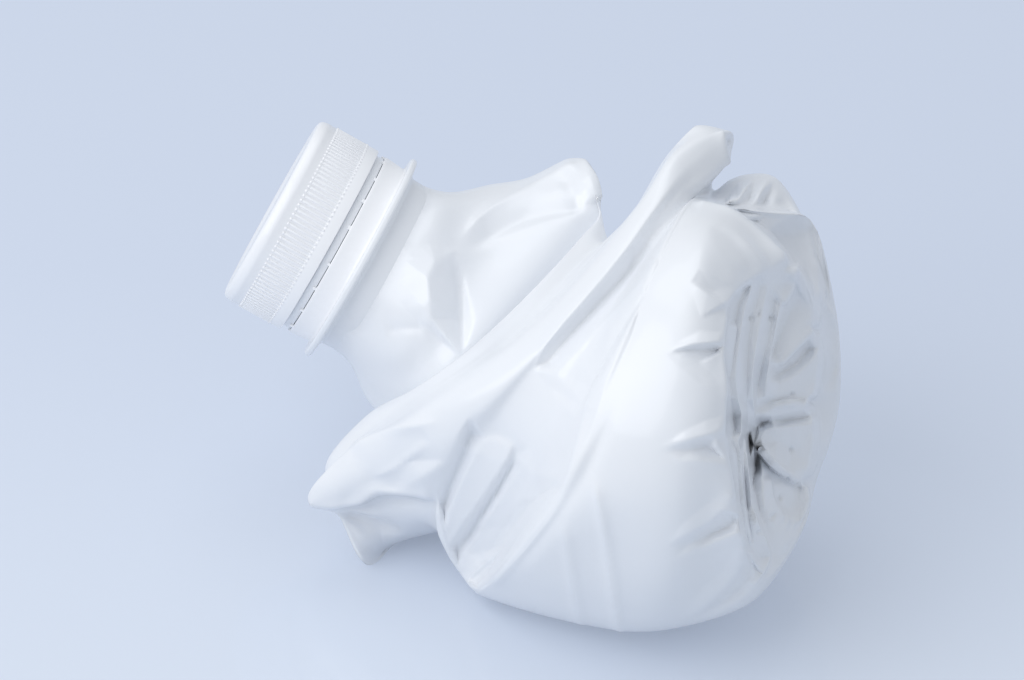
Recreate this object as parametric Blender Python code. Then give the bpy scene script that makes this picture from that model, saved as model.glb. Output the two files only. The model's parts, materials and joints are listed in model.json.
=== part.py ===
"""Crushed plastic bottle: a thin blown bottle folded over on itself, its ribbed screw cap and the loose tamper ring.

Blender 4.5, metres, +Z up. The fold points are set out on a drawing board, in millimetres, that faces an eye standing
in front of the bottle and looking down at it: right and up on the board, and near, the height of a point off the
board towards that eye. Every ring of points runs once round the bottle, and the rings follow each other from the
middle of the base to the shoulder. The neck, the cap and the tamper ring are turned shapes on one axis.
"""
import math

import bmesh
import bpy
from mathutils import Matrix, Vector

for old_object in list(bpy.data.objects):
    bpy.data.objects.remove(old_object, do_unlink=True)

MM = 0.001

# drawing board
EYE_ELEVATION = 30.0
EYE_DISTANCE = 1200.0
BOARD_MIDDLE = (102.4, 68.0)

# base of the bottle
PIT_CENTRE = (150.6, 46.0, 4.0)
BASE_FACING = (0.93, -0.05, 0.36)
PIT_SHARE = 0.12
PIT_STEP = 2.0
SLOPE_SHARE = 0.42
PETAL_SHARE = 0.74
PETAL_RISE = 2.4
PETAL_GAP = 2.2
NEAR_FOLD_RISE = 1.8

# neck, all measured from the middle of its carrying ring along the axis out of the mouth
NECK_CENTRE = (72.2, 84.5, -47.0)
NECK_LEAN_UP = 29.0
NECK_LEAN_NEAR = 4.0
NECK_RADIUS = 19.4
NECK_ROOT = 9.0
NECK_ROOT_RADIUS = 20.6
FINISH_RADIUS = 18.7
FINISH_HEIGHT = 19.7
RING_REACH = 4.5
RING_RADIUS = FINISH_RADIUS + RING_REACH
RING_THICKNESS = 1.5

# walls
SHELL_WALL = 0.6
NECK_WALL = 1.6

# cap
CAP_WALL = 2.0
CAP_TOP_WALL = 1.4
CAP_TOP_ROUND = 1.9
CAP_SKIRT = 2.6
RIB_COUNT = 120
RIB_HEIGHT = 0.35
RIB_FROM_TOP = 2.4
LIP_GAP = 0.4
CAP_RADIUS = FINISH_RADIUS + LIP_GAP + CAP_WALL

# tamper ring
BAND_WALL = 1.2
BAND_FLARE = 0.4
BAND_HEIGHT = 4.9
BRIDGE_HEIGHT = 0.7
BRIDGE_COUNT = 9
TURN_GAP = 0.3
TEAR_SLIT = 1.55

COLUMNS = 18
FRONT_COLUMNS = 10
HOLD_ROUNDS = 5


def seen(right, up, near):
    """A point of the drawing board, in metres, before the whole bottle is set down on the ground."""
    elevation = math.radians(EYE_ELEVATION)
    shrink = 1.0 - near / EYE_DISTANCE
    across = (right - BOARD_MIDDLE[0]) * shrink
    upward = (up - BOARD_MIDDLE[1]) * shrink
    return Vector((
        across,
        upward * math.sin(elevation) - near * math.cos(elevation),
        upward * math.cos(elevation) + near * math.sin(elevation),
    )) * MM


def seen_direction(right, up, near):
    """A direction of the drawing board, turned into the bottle's own frame."""
    elevation = math.radians(EYE_ELEVATION)
    return Vector((
        right,
        up * math.sin(elevation) - near * math.cos(elevation),
        up * math.cos(elevation) + near * math.sin(elevation),
    )).normalized()


def column_angle(column):
    """Turn of a column round the base, from the top, down the near side, to the bottom and up the far side."""
    if column <= FRONT_COLUMNS:
        return math.pi * column / FRONT_COLUMNS
    return math.pi + math.pi * (column - FRONT_COLUMNS) / (COLUMNS - FRONT_COLUMNS)


# outer edge of the base, from the top down the near side to the bottom and back up the far side
rim_ring = [
    (157.4, 83.6, 8.0), (151.4, 81.0, 20.0), (147.0, 77.6, 29.0), (145.0, 73.0, 35.0), (144.2, 66.0, 39.0),
    (144.8, 58.0, 41.0), (144.6, 51.0, 41.5), (146.4, 38.0, 37.5), (148.0, 29.6, 32.0), (149.6, 24.0, 22.0),
    (153.6, 20.4, 8.0),
    (161.6, 33.6, -9.0), (161.2, 39.2, -12.0), (162.6, 46.6, -12.0), (162.4, 54.0, -14.0), (163.6, 61.6, -12.0),
    (164.0, 67.4, -12.0), (162.0, 75.4, -4.0),
]


def base_ring(share, near_rise, crest, valley):
    """A ring of the base, a share of the way from its pit to its rim: on the far side the feet stand out as petals."""
    facing = Vector(BASE_FACING).normalized()
    ring = []
    for column, edge in enumerate(rim_ring):
        place = Vector(PIT_CENTRE).lerp(Vector(edge), share)
        far_side = column > FRONT_COLUMNS
        rise = (crest if column % 2 else valley) if far_side else near_rise
        ring.append(tuple(place + facing * rise))
    return ring


# rings of the base, from the pit outwards
pit_ring = base_ring(PIT_SHARE, -PIT_STEP, -PIT_STEP, -PIT_STEP)
slope_ring = base_ring(SLOPE_SHARE, NEAR_FOLD_RISE, -0.2 * PETAL_RISE, -0.2 * PETAL_RISE - PETAL_GAP)
petal_ring = base_ring(PETAL_SHARE, NEAR_FOLD_RISE, PETAL_RISE, PETAL_RISE - PETAL_GAP)

# rings of the body, each from the top down the near side to the bottom and back up the far side
heel_ring = [
    (153.0, 88.6, 8.0), (148.4, 85.6, 22.0), (144.4, 80.4, 31.0), (142.4, 74.4, 37.5), (141.6, 66.0, 42.0),
    (142.0, 58.0, 44.0), (141.6, 50.4, 44.5), (142.4, 40.0, 41.5), (143.0, 30.0, 34.0), (144.4, 21.6, 22.0),
    (149.0, 14.8, 4.0),
    (159.6, 29.6, -18.0), (163.6, 41.0, -22.0), (165.8, 46.6, -24.0), (167.6, 53.6, -25.0), (168.2, 62.0, -26.0),
    (167.2, 74.0, -25.0), (162.4, 91.6, -18.0),
]
wall_ring = [
    (147.0, 93.4, 7.0), (142.6, 89.8, 22.0), (140.4, 83.6, 32.0), (138.8, 76.0, 38.5), (137.6, 67.0, 43.0),
    (136.8, 58.0, 45.5), (136.4, 48.0, 46.0), (135.6, 36.0, 42.0), (134.4, 24.0, 32.0), (132.0, 14.6, 17.0),
    (131.0, 9.8, 1.0),
    (141.0, 14.6, -17.0), (148.0, 24.0, -33.0), (153.0, 36.0, -43.0), (157.0, 52.0, -46.0), (159.0, 70.0, -44.0),
    (155.6, 100.0, -30.0), (153.0, 94.4, -14.0),
]
flank_ring = [
    (142.4, 94.8, 6.0), (138.4, 90.6, 20.5), (136.0, 84.0, 30.5), (133.0, 76.0, 37.0), (131.2, 67.0, 41.5),
    (129.0, 58.0, 44.0), (127.2, 48.0, 44.0), (124.4, 36.0, 39.5), (120.6, 25.4, 28.0), (117.0, 16.4, 12.0),
    (116.4, 11.2, -8.0),
    (121.0, 20.0, -29.0), (130.0, 34.0, -45.0), (137.0, 50.0, -52.0), (143.0, 68.0, -51.0), (147.0, 86.0, -44.0),
    (149.4, 100.8, -32.0), (147.0, 94.6, -8.0),
]
ridge_ring = [
    (138.0, 95.6, 4.0), (134.4, 90.4, 18.0), (131.0, 83.6, 27.5), (127.4, 75.6, 34.0), (124.4, 67.0, 38.0),
    (121.0, 58.0, 40.0), (117.6, 48.0, 39.0), (112.4, 36.0, 33.0), (106.0, 27.0, 21.0), (100.2, 20.6, 3.0),
    (95.8, 17.4, -22.0),
    (106.0, 23.0, -34.0), (117.0, 35.0, -48.0), (127.0, 51.0, -56.0), (135.0, 69.0, -55.0), (141.6, 86.6, -46.0),
    (146.0, 99.6, -33.0), (142.6, 96.2, -11.0),
]
valley_ring = [
    (139.6, 97.2, -4.0), (134.0, 91.4, 8.0), (128.6, 84.6, 15.0), (123.6, 76.8, 20.0), (118.4, 68.4, 23.0),
    (112.6, 58.8, 23.5), (108.0, 49.4, 19.0), (104.0, 39.6, 9.0), (100.2, 31.0, -3.0), (96.6, 24.4, -14.0),
    (92.8, 20.8, -25.0),
    (98.0, 22.4, -32.0), (106.0, 30.0, -44.0), (114.0, 42.0, -55.0), (124.0, 58.0, -60.0), (134.0, 78.0, -54.0),
    (142.4, 96.0, -40.0), (141.8, 97.8, -18.0),
]
panel_ring = [
    (145.6, 104.0, -14.0), (137.0, 98.4, 1.0), (130.6, 91.4, 10.0), (124.6, 83.0, 16.5), (117.6, 74.4, 19.5),
    (109.6, 65.6, 19.5), (102.6, 56.8, 15.0), (97.2, 48.8, 8.0), (93.0, 41.8, 0.0), (89.8, 35.4, -8.5),
    (87.6, 29.6, -16.5),
    (92.0, 26.0, -32.0), (99.0, 33.0, -46.0), (108.0, 45.0, -57.0), (119.0, 60.0, -62.0), (129.0, 77.0, -58.0),
    (140.4, 97.4, -45.0), (143.4, 101.4, -25.0),
]
groove_ring = [
    (146.0, 109.4, -16.0), (137.2, 102.6, -1.0), (130.8, 94.0, 10.0), (124.0, 84.8, 17.0), (116.8, 75.8, 20.0),
    (108.8, 67.0, 19.5), (101.0, 58.8, 16.0), (93.8, 51.6, 10.5), (88.8, 45.4, 4.0), (86.8, 40.0, -4.0),
    (86.6, 35.2, -12.0),
    (84.6, 31.4, -24.0), (88.0, 30.0, -41.0), (98.0, 42.0, -56.0), (112.0, 60.0, -64.0), (125.0, 78.0, -60.0),
    (138.8, 99.4, -47.0), (145.8, 106.0, -30.0),
]
band_ring = [
    (144.4, 110.0, -15.0), (135.2, 105.0, -2.5), (128.6, 96.0, 6.0), (121.6, 87.0, 12.0), (114.0, 78.0, 15.0),
    (105.6, 69.2, 14.5), (97.0, 61.6, 12.0), (88.4, 55.4, 7.0), (81.6, 50.0, 0.0), (77.0, 43.0, -9.0),
    (76.4, 38.2, -16.0),
    (76.4, 31.6, -27.0), (77.6, 26.6, -39.0), (90.0, 38.0, -55.0), (106.0, 58.0, -65.0), (121.0, 78.0, -61.0),
    (135.0, 97.0, -48.0), (143.4, 107.6, -30.0),
]
crest_ring = [
    (139.0, 110.8, -15.0), (133.0, 104.4, -10.0), (128.6, 96.0, -4.0), (121.4, 88.0, 1.0), (113.6, 79.4, 4.0),
    (104.0, 70.2, 4.0), (94.4, 63.0, 2.0), (85.4, 57.0, -3.0), (77.0, 50.2, -10.0), (68.6, 45.0, -18.0),
    (61.6, 36.2, -25.0),
    (67.4, 33.2, -29.0), (73.6, 23.0, -33.5), (84.0, 37.5, -50.0), (102.0, 58.0, -64.0), (118.0, 79.0, -60.0),
    (131.0, 97.0, -46.0), (138.0, 107.0, -28.0),
]
sliver_ring = [
    (122.0, 87.6, -31.0), (122.4, 87.4, -26.0), (120.4, 87.4, -19.0), (116.8, 84.6, -12.0), (110.8, 78.2, -3.0),
    (101.6, 69.6, -1.0), (92.4, 62.6, -2.5), (84.0, 57.2, -7.0), (75.0, 50.0, -15.0), (67.0, 43.0, -23.0),
    (65.0, 37.6, -30.0),
    (70.0, 35.0, -36.0), (76.0, 33.0, -46.0), (86.0, 42.0, -60.0), (101.0, 60.0, -68.0), (113.0, 76.0, -66.0),
    (119.0, 85.0, -56.0), (121.4, 87.6, -42.0),
]
sheet_ring = [
    (120.2, 93.2, -32.0), (119.2, 91.6, -29.0), (117.0, 89.4, -25.0), (114.0, 86.0, -20.0), (109.0, 80.6, -14.0),
    (100.4, 72.0, -10.0), (91.4, 64.2, -9.0), (83.0, 58.4, -12.0), (73.4, 53.0, -24.0), (65.4, 43.8, -28.0),
    (66.0, 38.6, -34.0),
    (71.0, 38.0, -44.0), (78.0, 40.0, -56.0), (88.0, 49.0, -66.0), (99.0, 62.0, -72.0), (109.0, 76.0, -70.0),
    (115.0, 87.0, -59.0), (119.4, 92.6, -44.0),
]
root_ring = [
    (119.4, 95.4, -38.0), (120.2, 92.0, -40.0), (119.4, 87.6, -39.0), (117.0, 82.6, -37.0), (112.4, 76.4, -35.0),
    (105.6, 68.4, -33.0), (98.0, 60.4, -32.0), (91.0, 54.0, -34.0), (85.0, 49.6, -38.0), (79.4, 46.4, -43.0),
    (76.0, 43.6, -48.0),
    (77.4, 45.0, -57.0), (83.0, 51.0, -67.0), (91.0, 61.0, -74.0), (100.0, 72.0, -76.0), (108.0, 84.0, -73.0),
    (114.6, 93.0, -63.0), (118.6, 97.0, -49.0),
]
lobe_ring = [
    (116.8, 103.4, -50.0), (118.8, 99.8, -43.0), (115.4, 93.6, -39.0), (111.0, 87.6, -35.0), (105.6, 80.6, -31.0),
    (99.4, 72.6, -28.0), (93.0, 65.0, -26.0), (88.0, 59.6, -28.0), (83.6, 55.6, -34.0), (80.0, 52.6, -42.0),
    (78.2, 51.0, -51.0),
    (79.8, 53.6, -61.0), (84.0, 60.4, -70.0), (90.4, 70.4, -77.0), (98.0, 82.0, -79.0), (105.0, 92.0, -75.0),
    (111.0, 100.0, -67.0), (115.0, 104.0, -59.0),
]
facet_ring = [
    (105.6, 99.6, -54.0), (107.0, 97.0, -46.0), (103.4, 92.4, -40.0), (98.6, 87.0, -35.0), (94.6, 80.8, -31.0),
    (91.6, 74.0, -28.0), (88.0, 67.6, -27.0), (84.0, 62.6, -29.5), (79.6, 58.8, -35.5), (77.0, 55.8, -43.0),
    (75.6, 53.4, -52.0),
    (77.2, 56.4, -62.0), (80.8, 63.0, -70.0), (85.8, 73.0, -76.0), (91.6, 83.0, -77.0), (97.4, 91.0, -74.0),
    (101.8, 97.0, -68.0), (104.8, 100.0, -61.0),
]
shoulder_ring = [
    (98.0, 98.6, -53.0), (97.6, 95.6, -44.5), (94.6, 91.2, -38.0), (91.6, 86.4, -32.0), (88.0, 80.8, -28.0),
    (86.0, 74.6, -26.0), (82.8, 69.0, -27.0), (79.2, 64.8, -30.5), (76.2, 61.6, -36.5), (74.0, 58.8, -43.5),
    (73.0, 56.8, -51.5),
    (74.4, 59.2, -60.0), (77.4, 65.4, -67.0), (81.4, 74.0, -72.0), (86.4, 82.6, -73.0), (91.4, 90.0, -71.0),
    (95.2, 95.6, -66.0), (97.6, 98.8, -60.0),
]


def neck_directions():
    """The neck's axis out of its mouth, and two spokes across it, on the drawing board."""
    lean_up = math.radians(NECK_LEAN_UP)
    lean_near = math.radians(NECK_LEAN_NEAR)
    axis = Vector((
        -math.cos(lean_up) * math.cos(lean_near),
        math.sin(lean_up) * math.cos(lean_near),
        math.sin(lean_near),
    ))
    near_side = (Vector((0.0, 0.0, 1.0)) - axis * axis.z).normalized()
    top_side = axis.cross(near_side).normalized()
    if top_side.y < 0.0:
        top_side = -top_side
    return axis, top_side, near_side


def neck_frame():
    """Matrix that stands a turned shape, drawn about +Z from the carrying ring, on the neck."""
    axis, top_side, near_side = neck_directions()
    z_axis = seen_direction(*axis)
    x_axis = seen_direction(*top_side)
    x_axis = (x_axis - z_axis * x_axis.dot(z_axis)).normalized()
    y_axis = z_axis.cross(x_axis)
    frame = Matrix((x_axis, y_axis, z_axis)).transposed().to_4x4()
    return Matrix.Translation(seen(*NECK_CENTRE)) @ frame


def neck_ring(radius, height):
    """One ring of the neck in metres, with the columns in the same order as the body's rings."""
    axis, top_side, near_side = neck_directions()
    centre = seen(*NECK_CENTRE)
    axis, top_side, near_side = (seen_direction(*v) for v in (axis, top_side, near_side))
    ring = []
    for column in range(COLUMNS):
        angle = column_angle(column)
        spoke = top_side * math.cos(angle) + near_side * math.sin(angle)
        ring.append(centre + spoke * radius * MM + axis * height * MM)
    return ring


half_ring = RING_THICKNESS / 2.0
body_rings = [
    pit_ring, slope_ring, petal_ring, rim_ring, heel_ring, wall_ring, flank_ring, ridge_ring, valley_ring, panel_ring,
    groove_ring, band_ring, crest_ring, sliver_ring, sheet_ring, root_ring, lobe_ring, facet_ring, shoulder_ring,
]
neck_rings = [
    (NECK_ROOT_RADIUS, -NECK_ROOT),
    (NECK_RADIUS, -NECK_ROOT / 2.0),
    (NECK_RADIUS, -half_ring),
    (RING_RADIUS, -half_ring),
    (RING_RADIUS, half_ring),
    (FINISH_RADIUS, half_ring),
    (FINISH_RADIUS, FINISH_HEIGHT),
]
ring_sharpness = {
    3: 0.4, 7: 0.75, 12: 0.5, 13: 0.3, 14: 0.7, 15: 0.2,
    21: 0.9, 22: 0.9, 23: 0.9, 24: 0.9,
}


def material(name, colour, roughness):
    """A plain moulded plastic."""
    plastic = bpy.data.materials.new(name)
    plastic.use_nodes = True
    shader = plastic.node_tree.nodes["Principled BSDF"]
    shader.inputs["Base Color"].default_value = (*colour, 1.0)
    shader.inputs["Roughness"].default_value = roughness
    shader.inputs["Metallic"].default_value = 0.0
    return plastic


def add_object(name, mesh, plastic):
    """One named piece in the scene."""
    mesh.materials.append(plastic)
    piece = bpy.data.objects.new(name, mesh)
    bpy.context.collection.objects.link(piece)
    return piece


def bottle_mesh():
    """The folded skin, still without a thickness, from the middle of the base to the mouth."""
    bm = bmesh.new()
    crease = bm.edges.layers.float.new("crease_edge")
    rings = [[bm.verts.new(seen(*point)) for point in ring] for ring in body_rings]
    rings += [[bm.verts.new(place) for place in neck_ring(radius, height)] for radius, height in neck_rings]
    facing = Vector(BASE_FACING).normalized()
    middle = bm.verts.new(seen(*(Vector(PIT_CENTRE) - facing * PIT_STEP)))
    for column in range(COLUMNS):
        following = (column + 1) % COLUMNS
        bm.faces.new((middle, rings[0][following], rings[0][column]))
        for lower, upper in zip(rings, rings[1:]):
            bm.faces.new((lower[column], lower[following], upper[following], upper[column]))
    for number, sharpness in ring_sharpness.items():
        for column in range(COLUMNS):
            edge = bm.edges.get((rings[number][column], rings[number][(column + 1) % COLUMNS]))
            edge[crease] = sharpness
    bmesh.ops.recalc_face_normals(bm, faces=bm.faces[:])
    mesh = bpy.data.meshes.new("bottle")
    bm.to_mesh(mesh)
    bm.free()
    return mesh, len(body_rings) * COLUMNS


def hold_fold_points(bottle, wall):
    """Moves the corners of the skin outwards until the smoothed skin passes through the fold points again."""
    wall.show_viewport = False
    targets = [vertex.co.copy() for vertex in bottle.data.vertices]
    for _ in range(HOLD_ROUNDS):
        bpy.context.view_layer.update()
        graph = bpy.context.evaluated_depsgraph_get()
        smoothed = bottle.evaluated_get(graph).to_mesh()
        reached = [smoothed.vertices[number].co.copy() for number in range(len(targets))]
        for vertex, target, place in zip(bottle.data.vertices, targets, reached):
            vertex.co += target - place
        bottle.data.update()
    wall.show_viewport = True


def build_bottle(plastic):
    """The bottle: the folded skin, smoothed and given its wall."""
    mesh, first_neck_vertex = bottle_mesh()
    bottle = add_object("bottle", mesh, plastic)
    stiff = bottle.vertex_groups.new(name="stiff")
    neck_vertices = list(range(first_neck_vertex + COLUMNS, first_neck_vertex + COLUMNS * len(neck_rings)))
    stiff.add(neck_vertices, 1.0, "REPLACE")
    smooth = bottle.modifiers.new("smooth folds", "SUBSURF")
    smooth.levels = smooth.render_levels = 1
    wall = bottle.modifiers.new("wall", "SOLIDIFY")
    wall.thickness = NECK_WALL * MM
    wall.offset = -1.0
    wall.vertex_group = "stiff"
    wall.thickness_vertex_group = SHELL_WALL / NECK_WALL
    for polygon in mesh.polygons:
        polygon.use_smooth = True
    hold_fold_points(bottle, wall)
    return bottle


def turned(name, profile, columns, radius_change=None, closed=True):
    """A turned shape about +Z from (radius, height) in millimetres: a ring, or a cup with a flat disc at both ends."""
    bm = bmesh.new()
    stations = []
    for column in range(columns):
        angle = 2.0 * math.pi * column / columns
        station = []
        for number, (radius, height) in enumerate(profile):
            change = radius_change(number, column) if radius_change else 0.0
            reach = (radius + change) * MM
            station.append(bm.verts.new((reach * math.cos(angle), reach * math.sin(angle), height * MM)))
        stations.append(station)
    steps = len(profile) if closed else len(profile) - 1
    for column in range(columns):
        here, there = stations[column], stations[(column + 1) % columns]
        for number in range(steps):
            after = (number + 1) % len(profile)
            bm.faces.new((here[number], there[number], there[after], here[after]))
    if not closed:
        bm.faces.new([station[0] for station in stations])
        bm.faces.new([station[-1] for station in stations])
    bmesh.ops.recalc_face_normals(bm, faces=bm.faces[:])
    mesh = bpy.data.meshes.new(name)
    bm.to_mesh(mesh)
    bm.free()
    return mesh


def build_cap(plastic, frame):
    """The screw cap, as one cup with upright ribs round its wall."""
    top = FINISH_HEIGHT + TURN_GAP + CAP_TOP_WALL
    foot = RING_THICKNESS / 2.0 + TURN_GAP + BAND_HEIGHT + TEAR_SLIT
    inner = FINISH_RADIUS + LIP_GAP
    valley = CAP_RADIUS - RIB_HEIGHT
    rib_top = top - RIB_FROM_TOP
    rib_foot = foot + CAP_SKIRT
    outline = [
        (inner, top - CAP_TOP_WALL),
        (inner, foot),
        (CAP_RADIUS, foot),
        (CAP_RADIUS, rib_foot),
        (valley, rib_foot + RIB_HEIGHT),
        (valley, rib_top - RIB_HEIGHT),
        (CAP_RADIUS, rib_top),
        (CAP_RADIUS - 0.1 * CAP_TOP_ROUND, top - 0.5 * CAP_TOP_ROUND),
        (CAP_RADIUS - 0.45 * CAP_TOP_ROUND, top - 0.15 * CAP_TOP_ROUND),
        (CAP_RADIUS - CAP_TOP_ROUND, top),
    ]

    def rib(number, column):
        return RIB_HEIGHT if number in (4, 5) and column % 2 == 0 else 0.0

    mesh = turned("cap", outline, 2 * RIB_COUNT, rib, closed=False)
    cap = add_object("cap", mesh, plastic)
    cap.matrix_world = frame
    return cap


def build_tamper_band(plastic, frame):
    """The ring that stays on the neck when the cap is first opened, with the stubs of its torn bridges."""
    foot = half_ring + TURN_GAP
    top = foot + BAND_HEIGHT
    inner = FINISH_RADIUS + LIP_GAP
    columns = 12 * BRIDGE_COUNT
    outline = [(inner, foot), (inner + BAND_WALL, foot), (inner + BAND_WALL + BAND_FLARE, top), (inner, top)]
    mesh = turned("tamper_band", outline, columns)
    bm = bmesh.new()
    bm.from_mesh(mesh)
    top_faces = [f for f in bm.faces if f.calc_center_median().z > (top - 0.01) * MM]
    top_faces.sort(key=lambda f: math.atan2(f.calc_center_median().y, f.calc_center_median().x))
    bridges = top_faces[3::12]
    raised = bmesh.ops.extrude_discrete_faces(bm, faces=bridges)
    for face in raised["faces"]:
        bmesh.ops.translate(bm, verts=face.verts[:], vec=(0.0, 0.0, BRIDGE_HEIGHT * MM))
    bmesh.ops.recalc_face_normals(bm, faces=bm.faces[:])
    bm.to_mesh(mesh)
    bm.free()
    band = add_object("tamper_band", mesh, plastic)
    band.matrix_world = frame
    return band


bottle_plastic = material("bottle plastic", (0.86, 0.88, 0.91), 0.28)
cap_plastic = material("cap plastic", (0.88, 0.90, 0.93), 0.34)
band_plastic = material("tamper ring plastic", (0.88, 0.90, 0.93), 0.34)

bottle_piece = build_bottle(bottle_plastic)
cap_piece = build_cap(cap_plastic, neck_frame())
band_piece = build_tamper_band(band_plastic, neck_frame())
bpy.context.view_layer.update()

# set the bottle down on the ground, with the middle of its footprint's box over the origin
pieces = (bottle_piece, cap_piece, band_piece)
graph = bpy.context.evaluated_depsgraph_get()
corners = []
for piece in pieces:
    shape = piece.evaluated_get(graph)
    corners += [shape.matrix_world @ v.co for v in shape.to_mesh().vertices]
lift = Vector((
    -0.5 * (min(c.x for c in corners) + max(c.x for c in corners)),
    -0.5 * (min(c.y for c in corners) + max(c.y for c in corners)),
    -min(c.z for c in corners),
))
for piece in pieces:
    piece.matrix_world = Matrix.Translation(lift) @ piece.matrix_world
print("set down by", [round(v * 1000.0, 3) for v in lift])
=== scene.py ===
# %% [markdown]
# # A crushed white bottle
# The object is one blown plastic bottle that somebody emptied, folded over and threw away, with its cap
# still on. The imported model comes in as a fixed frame, and every piece made here stands for one of its
# nodes.

# %% The frame
import math

import bmesh
import bpy
import numpy as np
from mathutils import Matrix, Vector
from mathutils.geometry import delaunay_2d_cdt
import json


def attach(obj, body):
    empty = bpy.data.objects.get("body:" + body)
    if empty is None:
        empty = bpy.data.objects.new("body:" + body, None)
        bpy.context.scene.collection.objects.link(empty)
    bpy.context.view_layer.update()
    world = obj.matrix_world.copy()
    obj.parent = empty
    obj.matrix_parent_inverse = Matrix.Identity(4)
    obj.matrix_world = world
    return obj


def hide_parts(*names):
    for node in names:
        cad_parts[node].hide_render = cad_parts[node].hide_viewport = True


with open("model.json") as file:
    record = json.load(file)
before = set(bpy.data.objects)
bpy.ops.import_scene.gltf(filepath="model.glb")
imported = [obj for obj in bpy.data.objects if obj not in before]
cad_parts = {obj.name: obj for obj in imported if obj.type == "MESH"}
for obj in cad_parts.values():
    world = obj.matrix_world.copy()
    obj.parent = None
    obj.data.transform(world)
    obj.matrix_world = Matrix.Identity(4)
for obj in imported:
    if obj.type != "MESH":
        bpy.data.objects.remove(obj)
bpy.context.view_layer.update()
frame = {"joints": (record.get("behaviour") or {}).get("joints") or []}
MM = 0.001

# %% [markdown]
# ## The drawing board
# The folds are set out on a board that faces the eye, as the model's own source does: right and up in
# millimetres, and near, how far a point stands off the board towards the eye. A place on the board is five
# picture steps to the millimetre, so a fold that is seen in the photo at a certain place is drawn at that
# place.

# %% The drawing board
EYE_ELEVATION = 30.0
EYE_DISTANCE = 1200.0
BOARD_MIDDLE = np.array((102.4, 68.0))
STEPS_PER_MM = 5.0
PICTURE_HEIGHT = 680.0
NECK_CENTRE = (72.2, 84.5, -47.0)
tilt_sine = math.sin(math.radians(EYE_ELEVATION))
tilt_cosine = math.cos(math.radians(EYE_ELEVATION))


def board_to_world(points):
    """Board points, in millimetres, as world points in metres, before the bottle is set down."""
    points = np.asarray(points, dtype=float)
    near = points[..., 2]
    shrink = 1.0 - near / EYE_DISTANCE
    across = (points[..., 0] - BOARD_MIDDLE[0]) * shrink
    upward = (points[..., 1] - BOARD_MIDDLE[1]) * shrink
    return MM * np.stack((
        across,
        upward * tilt_sine - near * tilt_cosine,
        upward * tilt_cosine + near * tilt_sine,
    ), axis=-1)


neck_joint = frame["joints"][0]
neck_origin = np.array(neck_joint["pos_m"])
set_down = neck_origin - board_to_world(NECK_CENTRE)
print("set down by", np.round(set_down * 1000.0, 2), "mm")

# %% [markdown]
# ## The fold rings
# A blown bottle is one skin, so it is drawn as rings of fold points that follow each other from the pit in
# the base to the neck. Each ring starts at the top, runs down the near side to the bottom and comes back up
# the far side.

# %% The fold rings
COLUMNS = 18
FRONT_COLUMNS = 10
PIT_CENTRE = np.array((150.6, 46.0, 4.0))
NECK_ROOT = 9.0
NECK_ROOT_RADIUS = 20.6
NECK_RADIUS = 19.4
PIT_SHARE = 0.12
SLOPE_SHARE = 0.42
PETAL_SHARE = 0.74


def column_angle(column):
    """Turn of a column round the base, from the top, down the near side and up the far side."""
    if column <= FRONT_COLUMNS:
        return math.pi * column / FRONT_COLUMNS
    return math.pi + math.pi * (column - FRONT_COLUMNS) / (COLUMNS - FRONT_COLUMNS)


base_rim = [
    (157.4, 83.6, 8.0), (151.4, 81.0, 20.0), (147.0, 77.6, 29.0), (145.0, 73.0, 35.0), (144.2, 66.0, 39.0),
    (144.8, 58.0, 41.0), (144.6, 51.0, 41.5), (146.4, 38.0, 37.5), (148.0, 29.6, 32.0), (149.6, 24.0, 22.0),
    (153.6, 20.4, 8.0),
    (161.6, 33.6, -9.0), (161.2, 39.2, -12.0), (162.6, 46.6, -12.0), (162.4, 54.0, -14.0),
    (163.6, 61.6, -12.0), (164.0, 67.4, -12.0), (162.0, 75.4, -4.0),
]


def base_ring(share):
    """A ring of the base, a share of the way from the middle of its pit to its rim."""
    return [PIT_CENTRE + (np.array(edge) - PIT_CENTRE) * share for edge in base_rim]


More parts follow.
